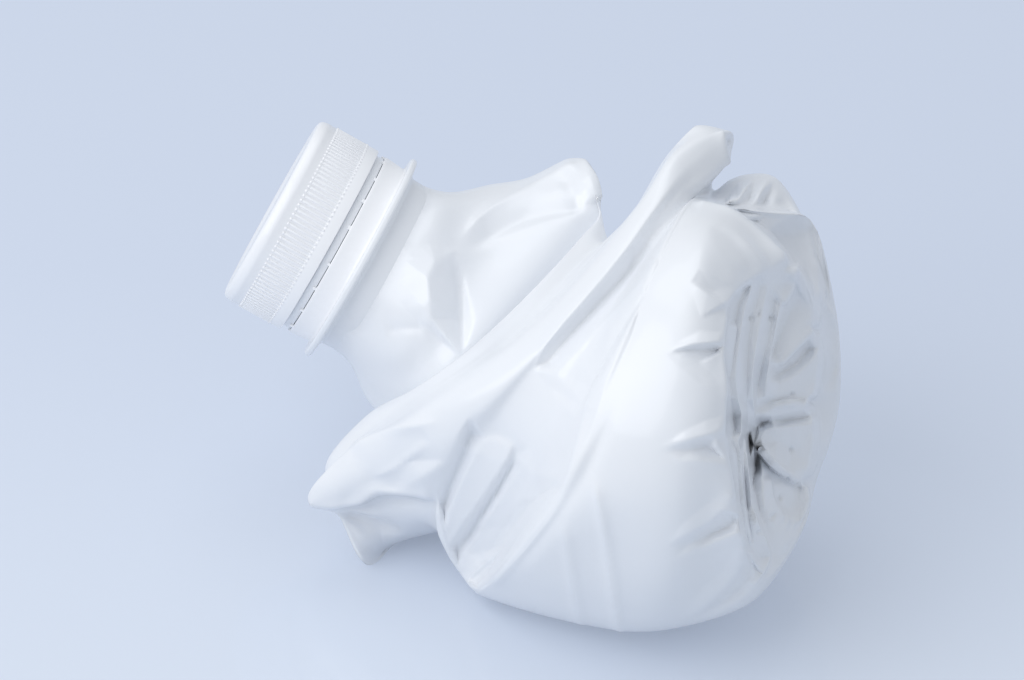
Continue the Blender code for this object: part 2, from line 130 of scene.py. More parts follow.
rings = {
    "pit": base_ring(PIT_SHARE),
    "slope": base_ring(SLOPE_SHARE),
    "petal": base_ring(PETAL_SHARE),
    "rim": base_rim,
    "heel": [
        (153.0, 88.6, 8.0), (148.4, 85.6, 22.0), (144.4, 80.4, 31.0), (142.4, 74.4, 37.5),
        (141.6, 66.0, 42.0), (142.0, 58.0, 44.0), (141.6, 50.4, 44.5), (142.4, 40.0, 41.5),
        (143.0, 30.0, 34.0), (144.4, 21.6, 22.0), (149.0, 14.8, 4.0),
        (159.6, 29.6, -18.0), (163.6, 41.0, -22.0), (165.8, 46.6, -24.0), (167.6, 53.6, -25.0),
        (168.2, 62.0, -26.0), (167.2, 74.0, -25.0), (162.4, 91.6, -18.0),
    ],
    "wall": [
        (147.0, 93.4, 7.0), (142.6, 89.8, 22.0), (140.4, 83.6, 32.0), (138.8, 76.0, 38.5),
        (137.6, 67.0, 43.0), (136.8, 58.0, 45.5), (136.4, 48.0, 46.0), (135.6, 36.0, 42.0),
        (134.4, 24.0, 32.0), (132.0, 14.6, 17.0), (131.0, 9.8, 1.0),
        (141.0, 14.6, -17.0), (148.0, 24.0, -33.0), (153.0, 36.0, -43.0), (157.0, 52.0, -46.0),
        (159.0, 70.0, -44.0), (155.6, 100.0, -30.0), (153.0, 94.4, -14.0),
    ],
    "flank": [
        (142.4, 94.8, 6.0), (138.4, 90.6, 20.5), (136.0, 84.0, 30.5), (133.0, 76.0, 37.0),
        (131.2, 67.0, 41.5), (129.0, 58.0, 44.0), (127.2, 48.0, 44.0), (124.4, 36.0, 39.5),
        (120.6, 25.4, 28.0), (117.0, 16.4, 12.0), (116.4, 11.2, -8.0),
        (121.0, 20.0, -29.0), (130.0, 34.0, -45.0), (137.0, 50.0, -52.0), (143.0, 68.0, -51.0),
        (147.0, 86.0, -44.0), (149.4, 100.8, -32.0), (147.0, 94.6, -8.0),
    ],
    "ridge": [
        (138.0, 95.6, 4.0), (134.4, 90.4, 18.0), (131.0, 83.6, 27.5), (127.4, 75.6, 34.0),
        (124.4, 67.0, 38.0), (121.0, 58.0, 40.0), (117.6, 48.0, 39.0), (112.4, 36.0, 33.0),
        (106.0, 27.0, 21.0), (100.2, 20.6, 3.0), (95.8, 17.4, -22.0),
        (106.0, 23.0, -34.0), (117.0, 35.0, -48.0), (127.0, 51.0, -56.0), (135.0, 69.0, -55.0),
        (141.6, 86.6, -46.0), (146.0, 99.6, -33.0), (142.6, 96.2, -11.0),
    ],
    "valley": [
        (139.6, 97.2, -4.0), (134.0, 91.4, 8.0), (128.6, 84.6, 15.0), (123.6, 76.8, 20.0),
        (118.4, 68.4, 23.0), (112.6, 58.8, 23.5), (108.0, 49.4, 19.0), (104.0, 39.6, 9.0),
        (100.2, 31.0, -3.0), (96.6, 24.4, -14.0), (92.8, 20.8, -25.0),
        (98.0, 22.4, -32.0), (106.0, 30.0, -44.0), (114.0, 42.0, -55.0), (124.0, 58.0, -60.0),
        (134.0, 78.0, -54.0), (142.4, 96.0, -40.0), (141.8, 97.8, -18.0),
    ],
    "panel": [
        (145.6, 104.0, -14.0), (137.0, 98.4, 1.0), (130.6, 91.4, 10.0), (124.6, 83.0, 16.5),
        (117.6, 74.4, 19.5), (109.6, 65.6, 19.5), (102.6, 56.8, 15.0), (97.2, 48.8, 8.0), (93.0, 41.8, 0.0),
        (89.8, 35.4, -8.5), (87.6, 29.6, -16.5),
        (92.0, 26.0, -32.0), (99.0, 33.0, -46.0), (108.0, 45.0, -57.0), (119.0, 60.0, -62.0),
        (129.0, 77.0, -58.0), (140.4, 97.4, -45.0), (143.4, 101.4, -25.0),
    ],
    "groove": [
        (146.0, 109.4, -16.0), (137.2, 102.6, -1.0), (130.8, 94.0, 10.0), (124.0, 84.8, 17.0),
        (116.8, 75.8, 20.0), (108.8, 67.0, 19.5), (101.0, 58.8, 16.0), (93.8, 51.6, 10.5),
        (88.8, 45.4, 4.0), (86.8, 40.0, -4.0), (86.6, 35.2, -12.0),
        (84.6, 31.4, -24.0), (88.0, 30.0, -41.0), (98.0, 42.0, -56.0), (112.0, 60.0, -64.0),
        (125.0, 78.0, -60.0), (138.8, 99.4, -47.0), (145.8, 106.0, -30.0),
    ],
    "band": [
        (144.4, 110.0, -15.0), (135.2, 105.0, -2.5), (128.6, 96.0, 6.0), (121.6, 87.0, 12.0),
        (114.0, 78.0, 15.0), (105.6, 69.2, 14.5), (97.0, 61.6, 12.0), (88.4, 55.4, 7.0), (81.6, 50.0, 0.0),
        (77.0, 43.0, -9.0), (76.4, 38.2, -16.0),
        (76.4, 31.6, -27.0), (77.6, 26.6, -39.0), (90.0, 38.0, -55.0), (106.0, 58.0, -65.0),
        (121.0, 78.0, -61.0), (135.0, 97.0, -48.0), (143.4, 107.6, -30.0),
    ],
    "crest": [
        (139.0, 110.8, -15.0), (133.0, 104.4, -10.0), (128.6, 96.0, -4.0), (121.4, 88.0, 1.0),
        (113.6, 79.4, 4.0), (104.0, 70.2, 4.0), (94.4, 63.0, 2.0), (85.4, 57.0, -3.0), (77.0, 50.2, -10.0),
        (68.6, 45.0, -18.0), (61.6, 36.2, -25.0),
        (67.4, 33.2, -29.0), (73.6, 23.0, -33.5), (84.0, 37.5, -50.0), (102.0, 58.0, -64.0),
        (118.0, 79.0, -60.0), (131.0, 97.0, -46.0), (138.0, 107.0, -28.0),
    ],
    "sliver": [
        (122.0, 87.6, -31.0), (122.4, 87.4, -26.0), (120.4, 87.4, -19.0), (116.8, 84.6, -12.0),
        (110.8, 78.2, -3.0), (101.6, 69.6, -1.0), (92.4, 62.6, -2.5), (84.0, 57.2, -7.0),
        (75.0, 50.0, -15.0), (67.0, 43.0, -23.0), (65.0, 37.6, -30.0),
        (70.0, 35.0, -36.0), (76.0, 33.0, -46.0), (86.0, 42.0, -60.0), (101.0, 60.0, -68.0),
        (113.0, 76.0, -66.0), (119.0, 85.0, -56.0), (121.4, 87.6, -42.0),
    ],
    "sheet": [
        (120.2, 93.2, -32.0), (119.2, 91.6, -29.0), (117.0, 89.4, -25.0), (114.0, 86.0, -20.0),
        (109.0, 80.6, -14.0), (100.4, 72.0, -10.0), (91.4, 64.2, -9.0), (83.0, 58.4, -12.0),
        (73.4, 53.0, -24.0), (65.4, 43.8, -28.0), (66.0, 38.6, -34.0),
        (71.0, 38.0, -44.0), (78.0, 40.0, -56.0), (88.0, 49.0, -66.0), (99.0, 62.0, -72.0),
        (109.0, 76.0, -70.0), (115.0, 87.0, -59.0), (119.4, 92.6, -44.0),
    ],
    "root": [
        (119.4, 95.4, -38.0), (120.2, 92.0, -40.0), (119.4, 87.6, -39.0), (117.0, 82.6, -37.0),
        (112.4, 76.4, -35.0), (105.6, 68.4, -33.0), (98.0, 60.4, -32.0), (91.0, 54.0, -34.0),
        (85.0, 49.6, -38.0), (79.4, 46.4, -43.0), (76.0, 43.6, -48.0),
        (77.4, 45.0, -57.0), (83.0, 51.0, -67.0), (91.0, 61.0, -74.0), (100.0, 72.0, -76.0),
        (108.0, 84.0, -73.0), (114.6, 93.0, -63.0), (118.6, 97.0, -49.0),
    ],
    "lobe": [
        (116.8, 103.4, -50.0), (118.8, 99.8, -43.0), (115.4, 93.6, -39.0), (111.0, 87.6, -35.0),
        (105.6, 80.6, -31.0), (99.4, 72.6, -28.0), (93.0, 65.0, -26.0), (88.0, 59.6, -28.0),
        (83.6, 55.6, -34.0), (80.0, 52.6, -42.0), (78.2, 51.0, -51.0),
        (79.8, 53.6, -61.0), (84.0, 60.4, -70.0), (90.4, 70.4, -77.0), (98.0, 82.0, -79.0),
        (105.0, 92.0, -75.0), (111.0, 100.0, -67.0), (115.0, 104.0, -59.0),
    ],
    "facet": [
        (105.6, 99.6, -54.0), (107.0, 97.0, -46.0), (103.4, 92.4, -40.0), (98.6, 87.0, -35.0),
        (94.6, 80.8, -31.0), (91.6, 74.0, -28.0), (88.0, 67.6, -27.0), (84.0, 62.6, -29.5),
        (79.6, 58.8, -35.5), (77.0, 55.8, -43.0), (75.6, 53.4, -52.0),
        (77.2, 56.4, -62.0), (80.8, 63.0, -70.0), (85.8, 73.0, -76.0), (91.6, 83.0, -77.0),
        (97.4, 91.0, -74.0), (101.8, 97.0, -68.0), (104.8, 100.0, -61.0),
    ],
    "shoulder": [
        (98.0, 98.6, -53.0), (97.6, 95.6, -44.5), (94.6, 91.2, -38.0), (91.6, 86.4, -32.0),
        (88.0, 80.8, -28.0), (86.0, 74.6, -26.0), (82.8, 69.0, -27.0), (79.2, 64.8, -30.5),
        (76.2, 61.6, -36.5), (74.0, 58.8, -43.5), (73.0, 56.8, -51.5),
        (74.4, 59.2, -60.0), (77.4, 65.4, -67.0), (81.4, 74.0, -72.0), (86.4, 82.6, -73.0),
        (91.4, 90.0, -71.0), (95.2, 95.6, -66.0), (97.6, 98.8, -60.0),
    ],
}
SHARPNESS = {"rim": 0.4, "ridge": 0.45, "crest": 0.4, "sliver": 0.3, "sheet": 0.6, "root": 0.1}
print(len(rings), "rings on the bottle, sharp at", ", ".join(SHARPNESS))

# %% [markdown]
# ## The neck's axis
# The neck, the cap and the torn ring are turned shapes on one line, the axis that the cap turns about. The
# frame's joint gives that line, so every ring and rib below stands on it.

# %% The neck's axis
neck_axis = np.array(neck_joint["axis"]) / np.linalg.norm(neck_joint["axis"])


def world_to_board(points):
    """World points in metres as board points in millimetres."""
    points = (np.asarray(points, dtype=float) - set_down) / MM
    upward = points[..., 1] * tilt_sine + points[..., 2] * tilt_cosine
    near = points[..., 2] * tilt_sine - points[..., 1] * tilt_cosine
    shrink = 1.0 - near / EYE_DISTANCE
    return np.stack((
        points[..., 0] / shrink + BOARD_MIDDLE[0],
        upward / shrink + BOARD_MIDDLE[1],
        near,
    ), axis=-1)


eye_direction = np.array((0.0, -tilt_cosine, tilt_sine))
neck_near = eye_direction - neck_axis * eye_direction.dot(neck_axis)
neck_near /= np.linalg.norm(neck_near)
neck_top = np.cross(neck_axis, neck_near)
if neck_top[2] < 0.0:
    neck_top = -neck_top


def neck_ring(radius, height):
    """A ring round the neck, its columns in the same order as the skin's, on the board."""
    places = []
    for column in range(COLUMNS):
        angle = column_angle(column)
        spoke = neck_top * math.cos(angle) + neck_near * math.sin(angle)
        places.append(neck_origin + (spoke * radius + neck_axis * height) * MM)
    return world_to_board(places)


RING_THICKNESS = 1.5
rings["neck root"] = neck_ring(NECK_ROOT_RADIUS, -NECK_ROOT)
rings["neck"] = neck_ring(NECK_RADIUS, -NECK_ROOT / 2.0)
rings["under ring"] = neck_ring(NECK_RADIUS, -RING_THICKNESS / 2.0)
ring_names = list(rings)
print(len(ring_names), "rings of", COLUMNS, "fold points")

# %% [markdown]
# ## A smooth skin through the rings
# Between the fold points the plastic runs in smooth curves, tighter where points lie close together. So
# each ring becomes a closed curve through its points, and then curves run from ring to ring through all of
# those. A curve can be told to break at a ring, which makes the crisp folds.

# %% A smooth skin through the rings
FINE_FRONT = 26
FINE_FAR = 15
FINE_STEP = 0.5
CLOSEST_GAP = 0.05
FEWEST_ROWS = 3


def slopes(before, here, after, gap_before, gap_after):
    """How fast a curve through three points goes at the middle one."""
    first = (here - before) / gap_before
    second = (after - here) / gap_after
    whole = (after - before) / (gap_before + gap_after)
    return first + second - whole


def curve_piece(start, end, slope_start, slope_end, gap, shares):
    """Points on the smooth curve between two neighbours, at the given shares of the way."""
    shares = shares.reshape((-1,) + (1,) * start.ndim)
    square, cube = shares ** 2, shares ** 3
    return (
        (2 * cube - 3 * square + 1) * start + (cube - 2 * square + shares) * gap * slope_start
        + (3 * square - 2 * cube) * end + (cube - square) * gap * slope_end
    )


def spacing(first, second):
    """A gap between two points that lets close points bend the curve tightly and never make a loop."""
    return np.sqrt(np.maximum(np.linalg.norm(second - first, axis=-1, keepdims=True), CLOSEST_GAP))


def close_rings(points):
    """Fine closed curves through the columns of every ring."""
    after = np.roll(points, -1, axis=1)
    before = np.roll(points, 1, axis=1)
    gap_after = spacing(points, after)
    gap_before = spacing(before, points)
    slope = slopes(before, points, after, gap_before, gap_after)
    pieces = []
    for column in range(COLUMNS):
        count = FINE_FRONT if column < FRONT_COLUMNS else FINE_FAR
        shares = np.arange(count) / count
        following = (column + 1) % COLUMNS
        start, end = points[:, column], points[:, following]
        slope_start, slope_end = slope[:, column], slope[:, following]
        piece = curve_piece(start, end, slope_start, slope_end, gap_after[:, column], shares)
        pieces.append(np.moveaxis(piece, 0, 1))
    return np.concatenate(pieces, axis=1)


def run_between_rings(points, sharpness):
    """Fine curves from ring to ring, and how many rings along each of their points lies."""
    count = len(points)
    gaps = [spacing(points[i], points[i + 1]) for i in range(count - 1)]
    leaving, arriving = [], []
    for i in range(count):
        straight_on = (points[i + 1] - points[i]) / gaps[i] if i < count - 1 else None
        straight_in = (points[i] - points[i - 1]) / gaps[i - 1] if i > 0 else None
        if straight_on is None or straight_in is None:
            only = straight_in if straight_on is None else straight_on
            leaving.append(only)
            arriving.append(only)
            continue
        through = slopes(points[i - 1], points[i], points[i + 1], gaps[i - 1], gaps[i])
        crisp = sharpness[i]
        leaving.append((1.0 - crisp) * through + crisp * straight_on)
        arriving.append((1.0 - crisp) * through + crisp * straight_in)
    front = slice(0, FRONT_COLUMNS * FINE_FRONT)
    rows, stations = [], []
    for i in range(count - 1):
        length = np.linalg.norm(points[i + 1] - points[i], axis=-1)[front].mean()
        steps = max(FEWEST_ROWS, int(round(length / FINE_STEP)))
        shares = np.arange(steps + (i == count - 2)) / steps
        rows.append(curve_piece(points[i], points[i + 1], leaving[i], arriving[i + 1], gaps[i], shares))
        stations.append(i + shares)
    return np.concatenate(rows), np.concatenate(stations)


cage = np.array([rings[name] for name in ring_names], dtype=float)
sharp_rings = [SHARPNESS.get(name, 0.0) for name in ring_names]
ring_curves = close_rings(cage)
skin, station_of_row = run_between_rings(ring_curves, sharp_rings)
print("skin of", skin.shape[0], "rows and", skin.shape[1], "columns")

# %% [markdown]
# ## The side that the eye sees
# The smaller folds are drawn as they are seen, so they may only reach the side of the skin that faces the
# eye, and only the rings that they belong to. The skin's outward directions tell the two sides apart. The
# middle of the wall surely faces the eye, and that settles the sign.

# %% The side that the eye sees
SEEN_LOW = -0.05
SEEN_HIGH = 0.22
RING_FADE = 0.35
BASE = ("pit", "rim")
WALL = ("rim", "ridge")
PANEL = ("ridge", "band")
BAND = ("panel", "crest")
SHEET = ("sheet", "neck")
wall_row = station_of_row.searchsorted(float(ring_names.index("wall")))
middle_column = FRONT_COLUMNS * FINE_FRONT // 2


def facing_of(surface):
    """Outward directions of the skin, on the board."""
    along_ring = np.roll(surface, -1, axis=1) - np.roll(surface, 1, axis=1)
    across = np.gradient(surface, axis=0)
    direction = np.cross(along_ring, across)
    direction = direction / np.maximum(np.linalg.norm(direction, axis=-1, keepdims=True), 1e-9)
    return -direction if direction[wall_row, middle_column, 2] < 0.0 else direction


def smooth_step(values, low, high):
    """0 below low, 1 above high, and a smooth ramp between."""
    share = np.clip((values - low) / (high - low), 0.0, 1.0)
    return share * share * (3.0 - 2.0 * share)


def ring_mask(first, last):
    """1 on the rows from one named ring to another, fading out a third of a ring beyond them."""
    low, high = ring_names.index(first), ring_names.index(last)
    rows = smooth_step(station_of_row, low - RING_FADE, low)
    rows = rows * (1.0 - smooth_step(station_of_row, high, high + RING_FADE))
    return rows[:, None]


outward = facing_of(skin)
seen_side = smooth_step(outward[..., 2], SEEN_LOW, SEEN_HIGH)
print("share of the skin that the eye sees:", round(float((outward[..., 2] > 0).mean()), 2))

# %% [markdown]
# ## Paths on the picture
# Folds and borders are paths of picture places. These functions bring them onto the board, round them or
# give them more corners, and measure how far the skin's points lie from them.

# %% Paths on the picture
FAR_OFF = 1e9


def on_board(x, y):
    """A picture place on the board."""
    return x / STEPS_PER_MM, (PICTURE_HEIGHT - y) / STEPS_PER_MM


def stepped(path, length=5.0):
    """The same path with more corners, so that it follows the skin closely."""
    corners = []
    for start, end in zip(path, path[1:]):
        count = max(1, round(math.dist(start[:2], end[:2]) / length))
        for k in range(count):
            x = start[0] + (end[0] - start[0]) * k / count
            y = start[1] + (end[1] - start[1]) * k / count
            corners.append((x, y))
    return corners + [path[-1][:2]]


def path_distance(places, path):
    """Distance of every place to a path, and how far along it they are."""
    best = np.full(places.shape[:-1], FAR_OFF)
    along = np.zeros(places.shape[:-1])
    path = np.asarray(path, dtype=float)
    steps = np.linalg.norm(np.diff(path, axis=0), axis=1)
    total = steps.sum()
    run = 0.0
    for start, end, length in zip(path, path[1:], steps):
        direction = (end - start) / length
        offset = places - start
        share = np.clip(offset @ direction, 0.0, length)
        away = offset - share[..., None] * direction
        distance = np.hypot(away[..., 0], away[..., 1])
        nearer = distance < best
        best = np.where(nearer, distance, best)
        along = np.where(nearer, (run + share) / total, along)
        run += length
    return best, along


def rounded_path(path, rounds=2):
    """The same path with its corners cut round."""
    path = np.asarray(path, dtype=float)
    for _ in range(rounds):
        if len(path) < 3:
            break
        cut = [path[0]]
        for start, end in zip(path, path[1:]):
            cut += [0.75 * start + 0.25 * end, 0.25 * start + 0.75 * end]
        cut.append(path[-1])
        path = np.array(cut)
    return path


def in_fence(points, fence):
    """Whether points lie inside a closed path."""
    result = np.zeros(len(points), dtype=bool)
    for start, end in zip(fence, np.roll(fence, -1, axis=0)):
        crosses = (start[1] > points[:, 1]) != (end[1] > points[:, 1])
        at = start[0] + (points[:, 1] - start[1]) * (end[0] - start[0]) / (end[1] - start[1] + 1e-12)
        result ^= crosses & (points[:, 0] < at)
    return result


print("the picture's upper left corner on the board:", on_board(0.0, 0.0))

# %% [markdown]
# ## Laying faces over the skin
# Crushed plastic breaks into flat faces between sharp lines. A face is told by the lines around it, each a
# path of picture places with heights. All the lines inside a border are joined into triangles, and the skin
# under them takes the triangles' height.

# %% Laying faces over the skin
FACING_EYE = 0.02
SAME_PLACE = 0.01
TOUCH = 1e-6


def relief(rings_between, lines, border, kind="rise", share=1.0, rounding=1, soft=0.6):
    """Lays faces between lines of (x, y, height) inside a border, all as seen in the picture.

    With the kind "near" the height is how near the line lies, with "flat" how far it stands above the skin,
    and the faces between are flat. With "rise" the heights are added to the skin, which keeps its roundness.
    """
    mask = ring_mask(*rings_between) * (outward[..., 2] > FACING_EYE)
    places = skin[..., :2]
    inside = mask > 0.5
    corners, edges = [], []

    def skin_near(place):
        distance = np.where(inside, np.hypot(places[..., 0] - place[0], places[..., 1] - place[1]), FAR_OFF)
        return skin[..., 2].flat[distance.argmin()]

    closed = border + border[:1]
    for line in lines + [closed if kind == "rise" else stepped(closed)]:
        for number, corner in enumerate(line):
            place = on_board(corner[0], corner[1])
            known = [c for c in range(len(corners)) if math.dist(corners[c][:2], place) < SAME_PLACE]
            if known:
                here = known[0]
            else:
                value = corner[2] if len(corner) > 2 else None
                if kind == "rise":
                    near = value or 0.0
                elif kind == "near" and value is not None:
                    near = value
                else:
                    near = skin_near(place) + (value or 0.0)
                corners.append((*place, near))
                here = len(corners) - 1
            if number:
                edges.append((before, here))
            before = here
    flat = [Vector(corner[:2]) for corner in corners]
    result = delaunay_2d_cdt(flat, edges, [], 0, 1e-5)
    made, faces, origins = result[0], result[2], result[3]
    near_of = []
    for place, origin in zip(made, origins):
        if origin:
            near_of.append(corners[origin[0]][2])
        else:
            near_of.append(0.0 if kind == "rise" else skin_near(place))
    fence = np.array([on_board(x, y) for x, y, *_ in border])
    level = np.full(places.shape[:2], np.nan)
    for face in faces:
        a, b, c = (np.array(made[k]) for k in face)
        middle = (a + b + c) / 3.0
        if not in_fence(middle[None], fence)[0]:
            continue
        low = np.minimum(np.minimum(a, b), c) - SAME_PLACE
        high = np.maximum(np.maximum(a, b), c) + SAME_PLACE
        close = inside & (places >= low).all(axis=-1) & (places <= high).all(axis=-1)
        if not close.any():
            continue
        span = np.array((b - a, c - a)).T
        shares = (places[close] - a) @ np.linalg.inv(span).T
        within = (shares[:, 0] >= -TOUCH) & (shares[:, 1] >= -TOUCH) & (shares.sum(axis=1) <= 1.0 + TOUCH)
        first, second, third = (near_of[corner] for corner in face)
        value = first + shares[:, 0] * (second - first) + shares[:, 1] * (third - first)
        picked = np.argwhere(close)[within]
        level[picked[:, 0], picked[:, 1]] = value[within]
    covered = ~np.isnan(level)
    distance, _ = path_distance(places[covered], np.vstack((fence, fence[:1])))
    change = np.zeros(places.shape[:2])
    if kind != "rise":
        level = level - skin[..., 2]
    change[covered] = level[covered] * share * smooth_step(distance, 0.0, soft)
    for _ in range(rounding):
        change = 0.25 * (np.roll(change, 1, axis=1) + np.roll(change, -1, axis=1)) + 0.5 * change
        change[1:-1] = 0.25 * (change[:-2] + change[2:]) + 0.5 * change[1:-1]
    skin[..., 2] += change
    print(len(faces), "faces laid over", int(covered.sum()), "points")


# %% [markdown]
# ### The faces of the base
# The base has collapsed into itself. Its inside is set out line by line: upright folds stand side by side
# behind the heel, a deep pit opens where they meet, and on the far side the moulded feet lie like petals
# with slots between.

# %% The faces of the base
BASE_BORDER = [
    (757, 275), (735, 292), (726, 305), (723, 330), (721.5, 350), (723.5, 380), (724, 405), (723, 430),
    (727, 440), (727, 452), (729, 470), (731, 490), (733, 500), (738, 530), (745, 547), (747, 560),
    (773, 557), (789, 557), (792, 546), (802, 534), (809, 513), (810, 498), (808, 490), (806, 480),
    (812, 466), (816, 444), (816, 418), (810, 404), (817, 392), (821, 362), (820, 346), (815, 328),
    (817, 318), (809, 298), (800, 284), (787, 266),
]
UPRIGHT_FOLDS = [
    [(748, 284, 18.5), (740, 300, 22), (736, 318, 24), (734, 335, 25), (731, 352, 27), (728, 378, 29),
     (731, 400, 28), (734, 418, 23.5), (735, 430, 25), (731, 438, 30), (735, 455, 28), (737, 480, 27),
     (739, 500, 26), (743, 528, 23), (748, 545, 19.5)],
    [(754, 278, 19.5), (747, 300, 22), (743, 318, 24.5), (740, 335, 26), (737, 355, 28), (735, 378, 29),
     (738, 400, 28), (742, 415, 25.5), (741, 434, 27), (738, 444, 29), (739, 460, 28.5), (741, 480, 27.5),
     (742, 500, 26.5), (745, 520, 24), (749, 540, 20)],
    [(760, 285, 15), (757, 300, 15.5), (752, 318, 17), (750, 335, 18), (748, 355, 19), (747, 378, 20),
     (747, 400, 18.5), (748, 418, 14), (744, 438, 15), (743, 450, 18.5), (744, 465, 19), (745, 482, 18.5),
     (746.5, 502, 18.5), (748, 520, 18.5), (751, 541, 17)],
    [(768, 285, 13.5), (765, 300, 14.5), (761, 318, 16.5), (758, 335, 18), (755, 355, 19.5),
     (752, 378, 20.5), (753, 400, 18), (755, 415, 11)],
    [(745.5, 441, 15), (747, 455, 18.5), (748.5, 470, 19.5), (750, 485, 20), (751, 500, 20),
     (752.5, 520, 19.5), (754.5, 541, 17), (757, 555, 14)],
    [(775, 300, 8), (772, 320, 8.5), (768, 340, 9.5), (764, 356, 9.5), (761, 370, 8.5), (758, 386, 8.5),
     (757, 400, 10)],
    [(783, 300, 8), (778, 320, 9), (774, 340, 9.5), (770, 360, 10), (767, 380, 9.5), (765, 398, 8.5)],
    [(753, 484, 6), (756, 495, 9), (758.5, 508, 9.5), (762, 520, 9), (766, 530, 8), (770, 545, 6.5)],
    [(762, 464, 2), (762, 476, 7), (763, 490, 9.5), (765, 505, 10), (770, 516, 9), (778, 530, 6),
     (785, 543, 3)],
]
PETALS = [
    [(795, 283, 2), (796, 297, -1), (789, 310, 0), (783, 325, 1.5), (777, 340, 3), (773, 352, 4)],
    [(813, 327, -5), (807, 334, -2.5), (800, 341, 0), (788, 353, 3), (778, 365, 5.5)],
    [(811, 316, -4), (800, 326, -0.5), (790, 338, 2)],
    [(777, 375, 1.5), (786, 370, -1.5), (797, 363, -4.5), (808, 350, -8)],
    [(779, 382, 4), (790, 378, 1.5), (801, 370, -2), (812, 360, -5)],
    [(813, 332, -6), (818, 347, -7.5), (819, 362, -8), (817, 380, -8), (814, 391, -7), (808, 399, -5)],
    [(776, 396, 4.5), (790, 391, 1), (801, 385, -2.5)],
    [(757, 409, 8), (766, 402, 5), (778, 400, 2.5), (790, 398, -0.5), (803, 400.5, -4)],
    [(769, 411, 5.5), (775, 405.5, 4.5), (790, 403, 2), (803, 403, -2)],
    [(770, 417, 4.5), (780, 415, 2.5), (795, 411.5, -0.5), (806, 410, -3)],
    [(756, 429, 2), (762, 423, -1), (768, 421, 0), (772, 420.5, 2), (776, 421, 0), (786, 421, -3),
     (798, 419.5, -5.5), (811, 416.5, -8)],
    [(756, 435, 3), (765, 430, 3), (775, 427, 2.5), (790, 425, 0), (813, 421, -5)],
    [(814, 424, -5.5), (814, 444, -6.5), (811, 465, -7.5), (805, 478, -7.5), (801, 482, -7)],
    [(755, 438, 3), (758, 444, 3.5), (765, 454, 4), (773, 463, 3), (780, 469, 1), (789, 475, -2),
     (801, 482, -5)],
    [(778, 442, 0.5), (791, 450, -3.5), (802, 446, -5)],
    [(753, 446, -1), (761, 458, -0.5), (770, 469, -1), (778, 475, -2.5), (787, 481, -5), (799, 488, -9)],
    [(749, 436, 2), (751, 448, -4), (755, 458, -5), (757, 467, -3), (754, 477, 3)],
    [(768, 476, 2), (769, 486, 3), (770, 498, 3.5), (776, 511, 2.5), (784, 519, 0), (792, 523, -3)],
    [(784, 486, -2), (783, 497, -2), (788, 509, -4)],
    [(797, 498, -7), (797, 511, -7)],
    [(804, 489, -9), (806, 500, -8), (803, 512, -7.5), (797, 521, -6), (792, 523, -3)],
]
relief(BASE, UPRIGHT_FOLDS + PETALS, BASE_BORDER, kind="near", soft=1.0)

# %% [markdown]
# ### The sunken side of the heel
# At the upper right the heel has sunk in: a flat, shaded face lies between the arc of the wall and the
# bright edge on top of it, and behind that edge the skin is gathered in small slanting pleats.

# %% The sunken side of the heel
SUNKEN_BORDER = [
    (716, 205), (743, 207), (777, 211), (806, 213), (815, 219), (822, 245), (830, 285), (838, 325),
    (840, 350), (838, 389), (819, 399), (818, 392), (822, 362), (821, 346), (816, 328), (818, 318),
    (810, 298), (801, 284), (788, 266), (780, 256), (765, 240), (750, 226), (733, 213),
]
SUNKEN_FACES = [
    [(722, 206, 1), (743, 208, -1), (777, 212, -6), (805, 214, -13)],
    [(735, 212, -2.5), (760, 215, -5), (785, 218, -9.5), (803, 220, -14.5)],
    [(750, 222, -4), (765, 234, -6), (780, 250, -7), (794, 267, -8)],
    [(785, 235, -14), (803, 262, -15), (817, 290, -16), (824, 318, -17), (829, 350, -19), (829, 380, -20)],
    [(808, 222, -19), (816, 258, -19), (826, 300, -20)],
    [(804, 284, -9), (814, 300, -12), (821, 318, -14), (824, 345, -15), (824, 365, -16), (821, 390, -15)],
]
relief(("rim", "ridge"), SUNKEN_FACES, SUNKEN_BORDER, kind="near", soft=0.5)
PLEAT_BORDER = [
    (724, 204), (733, 188), (740, 180), (752, 182), (770, 178), (779, 182), (792, 197), (803, 210),
    (777, 210), (743, 206),
]
PLEATS = [
    [(728, 202, -3), (744, 203, -11), (760, 205, -15), (778, 207, -18), (795, 209, -19)],
    [(738, 200, -9), (744, 190, -13), (749, 183, -16)],
    [(747, 202, -15), (752, 192, -18), (758, 184, -20)],
    [(754, 203, -13), (761, 192, -16), (767, 183, -20)],
    [(763, 204, -19), (769, 194, -21), (775, 186, -24)],
    [(771, 205, -17), (778, 196, -20), (783, 190, -24)],
    [(781, 206, -22), (787, 200, -24), (791, 199, -25)],
]
relief(("heel", "panel"), PLEATS, PLEAT_BORDER, kind="near", soft=0.5)

# %% [markdown]
# ### The faces of the wall
# The wall stays round, but it has buckled along its heel: short sharp notches run in from the edge, and
# above them two soft ridges follow the arc.

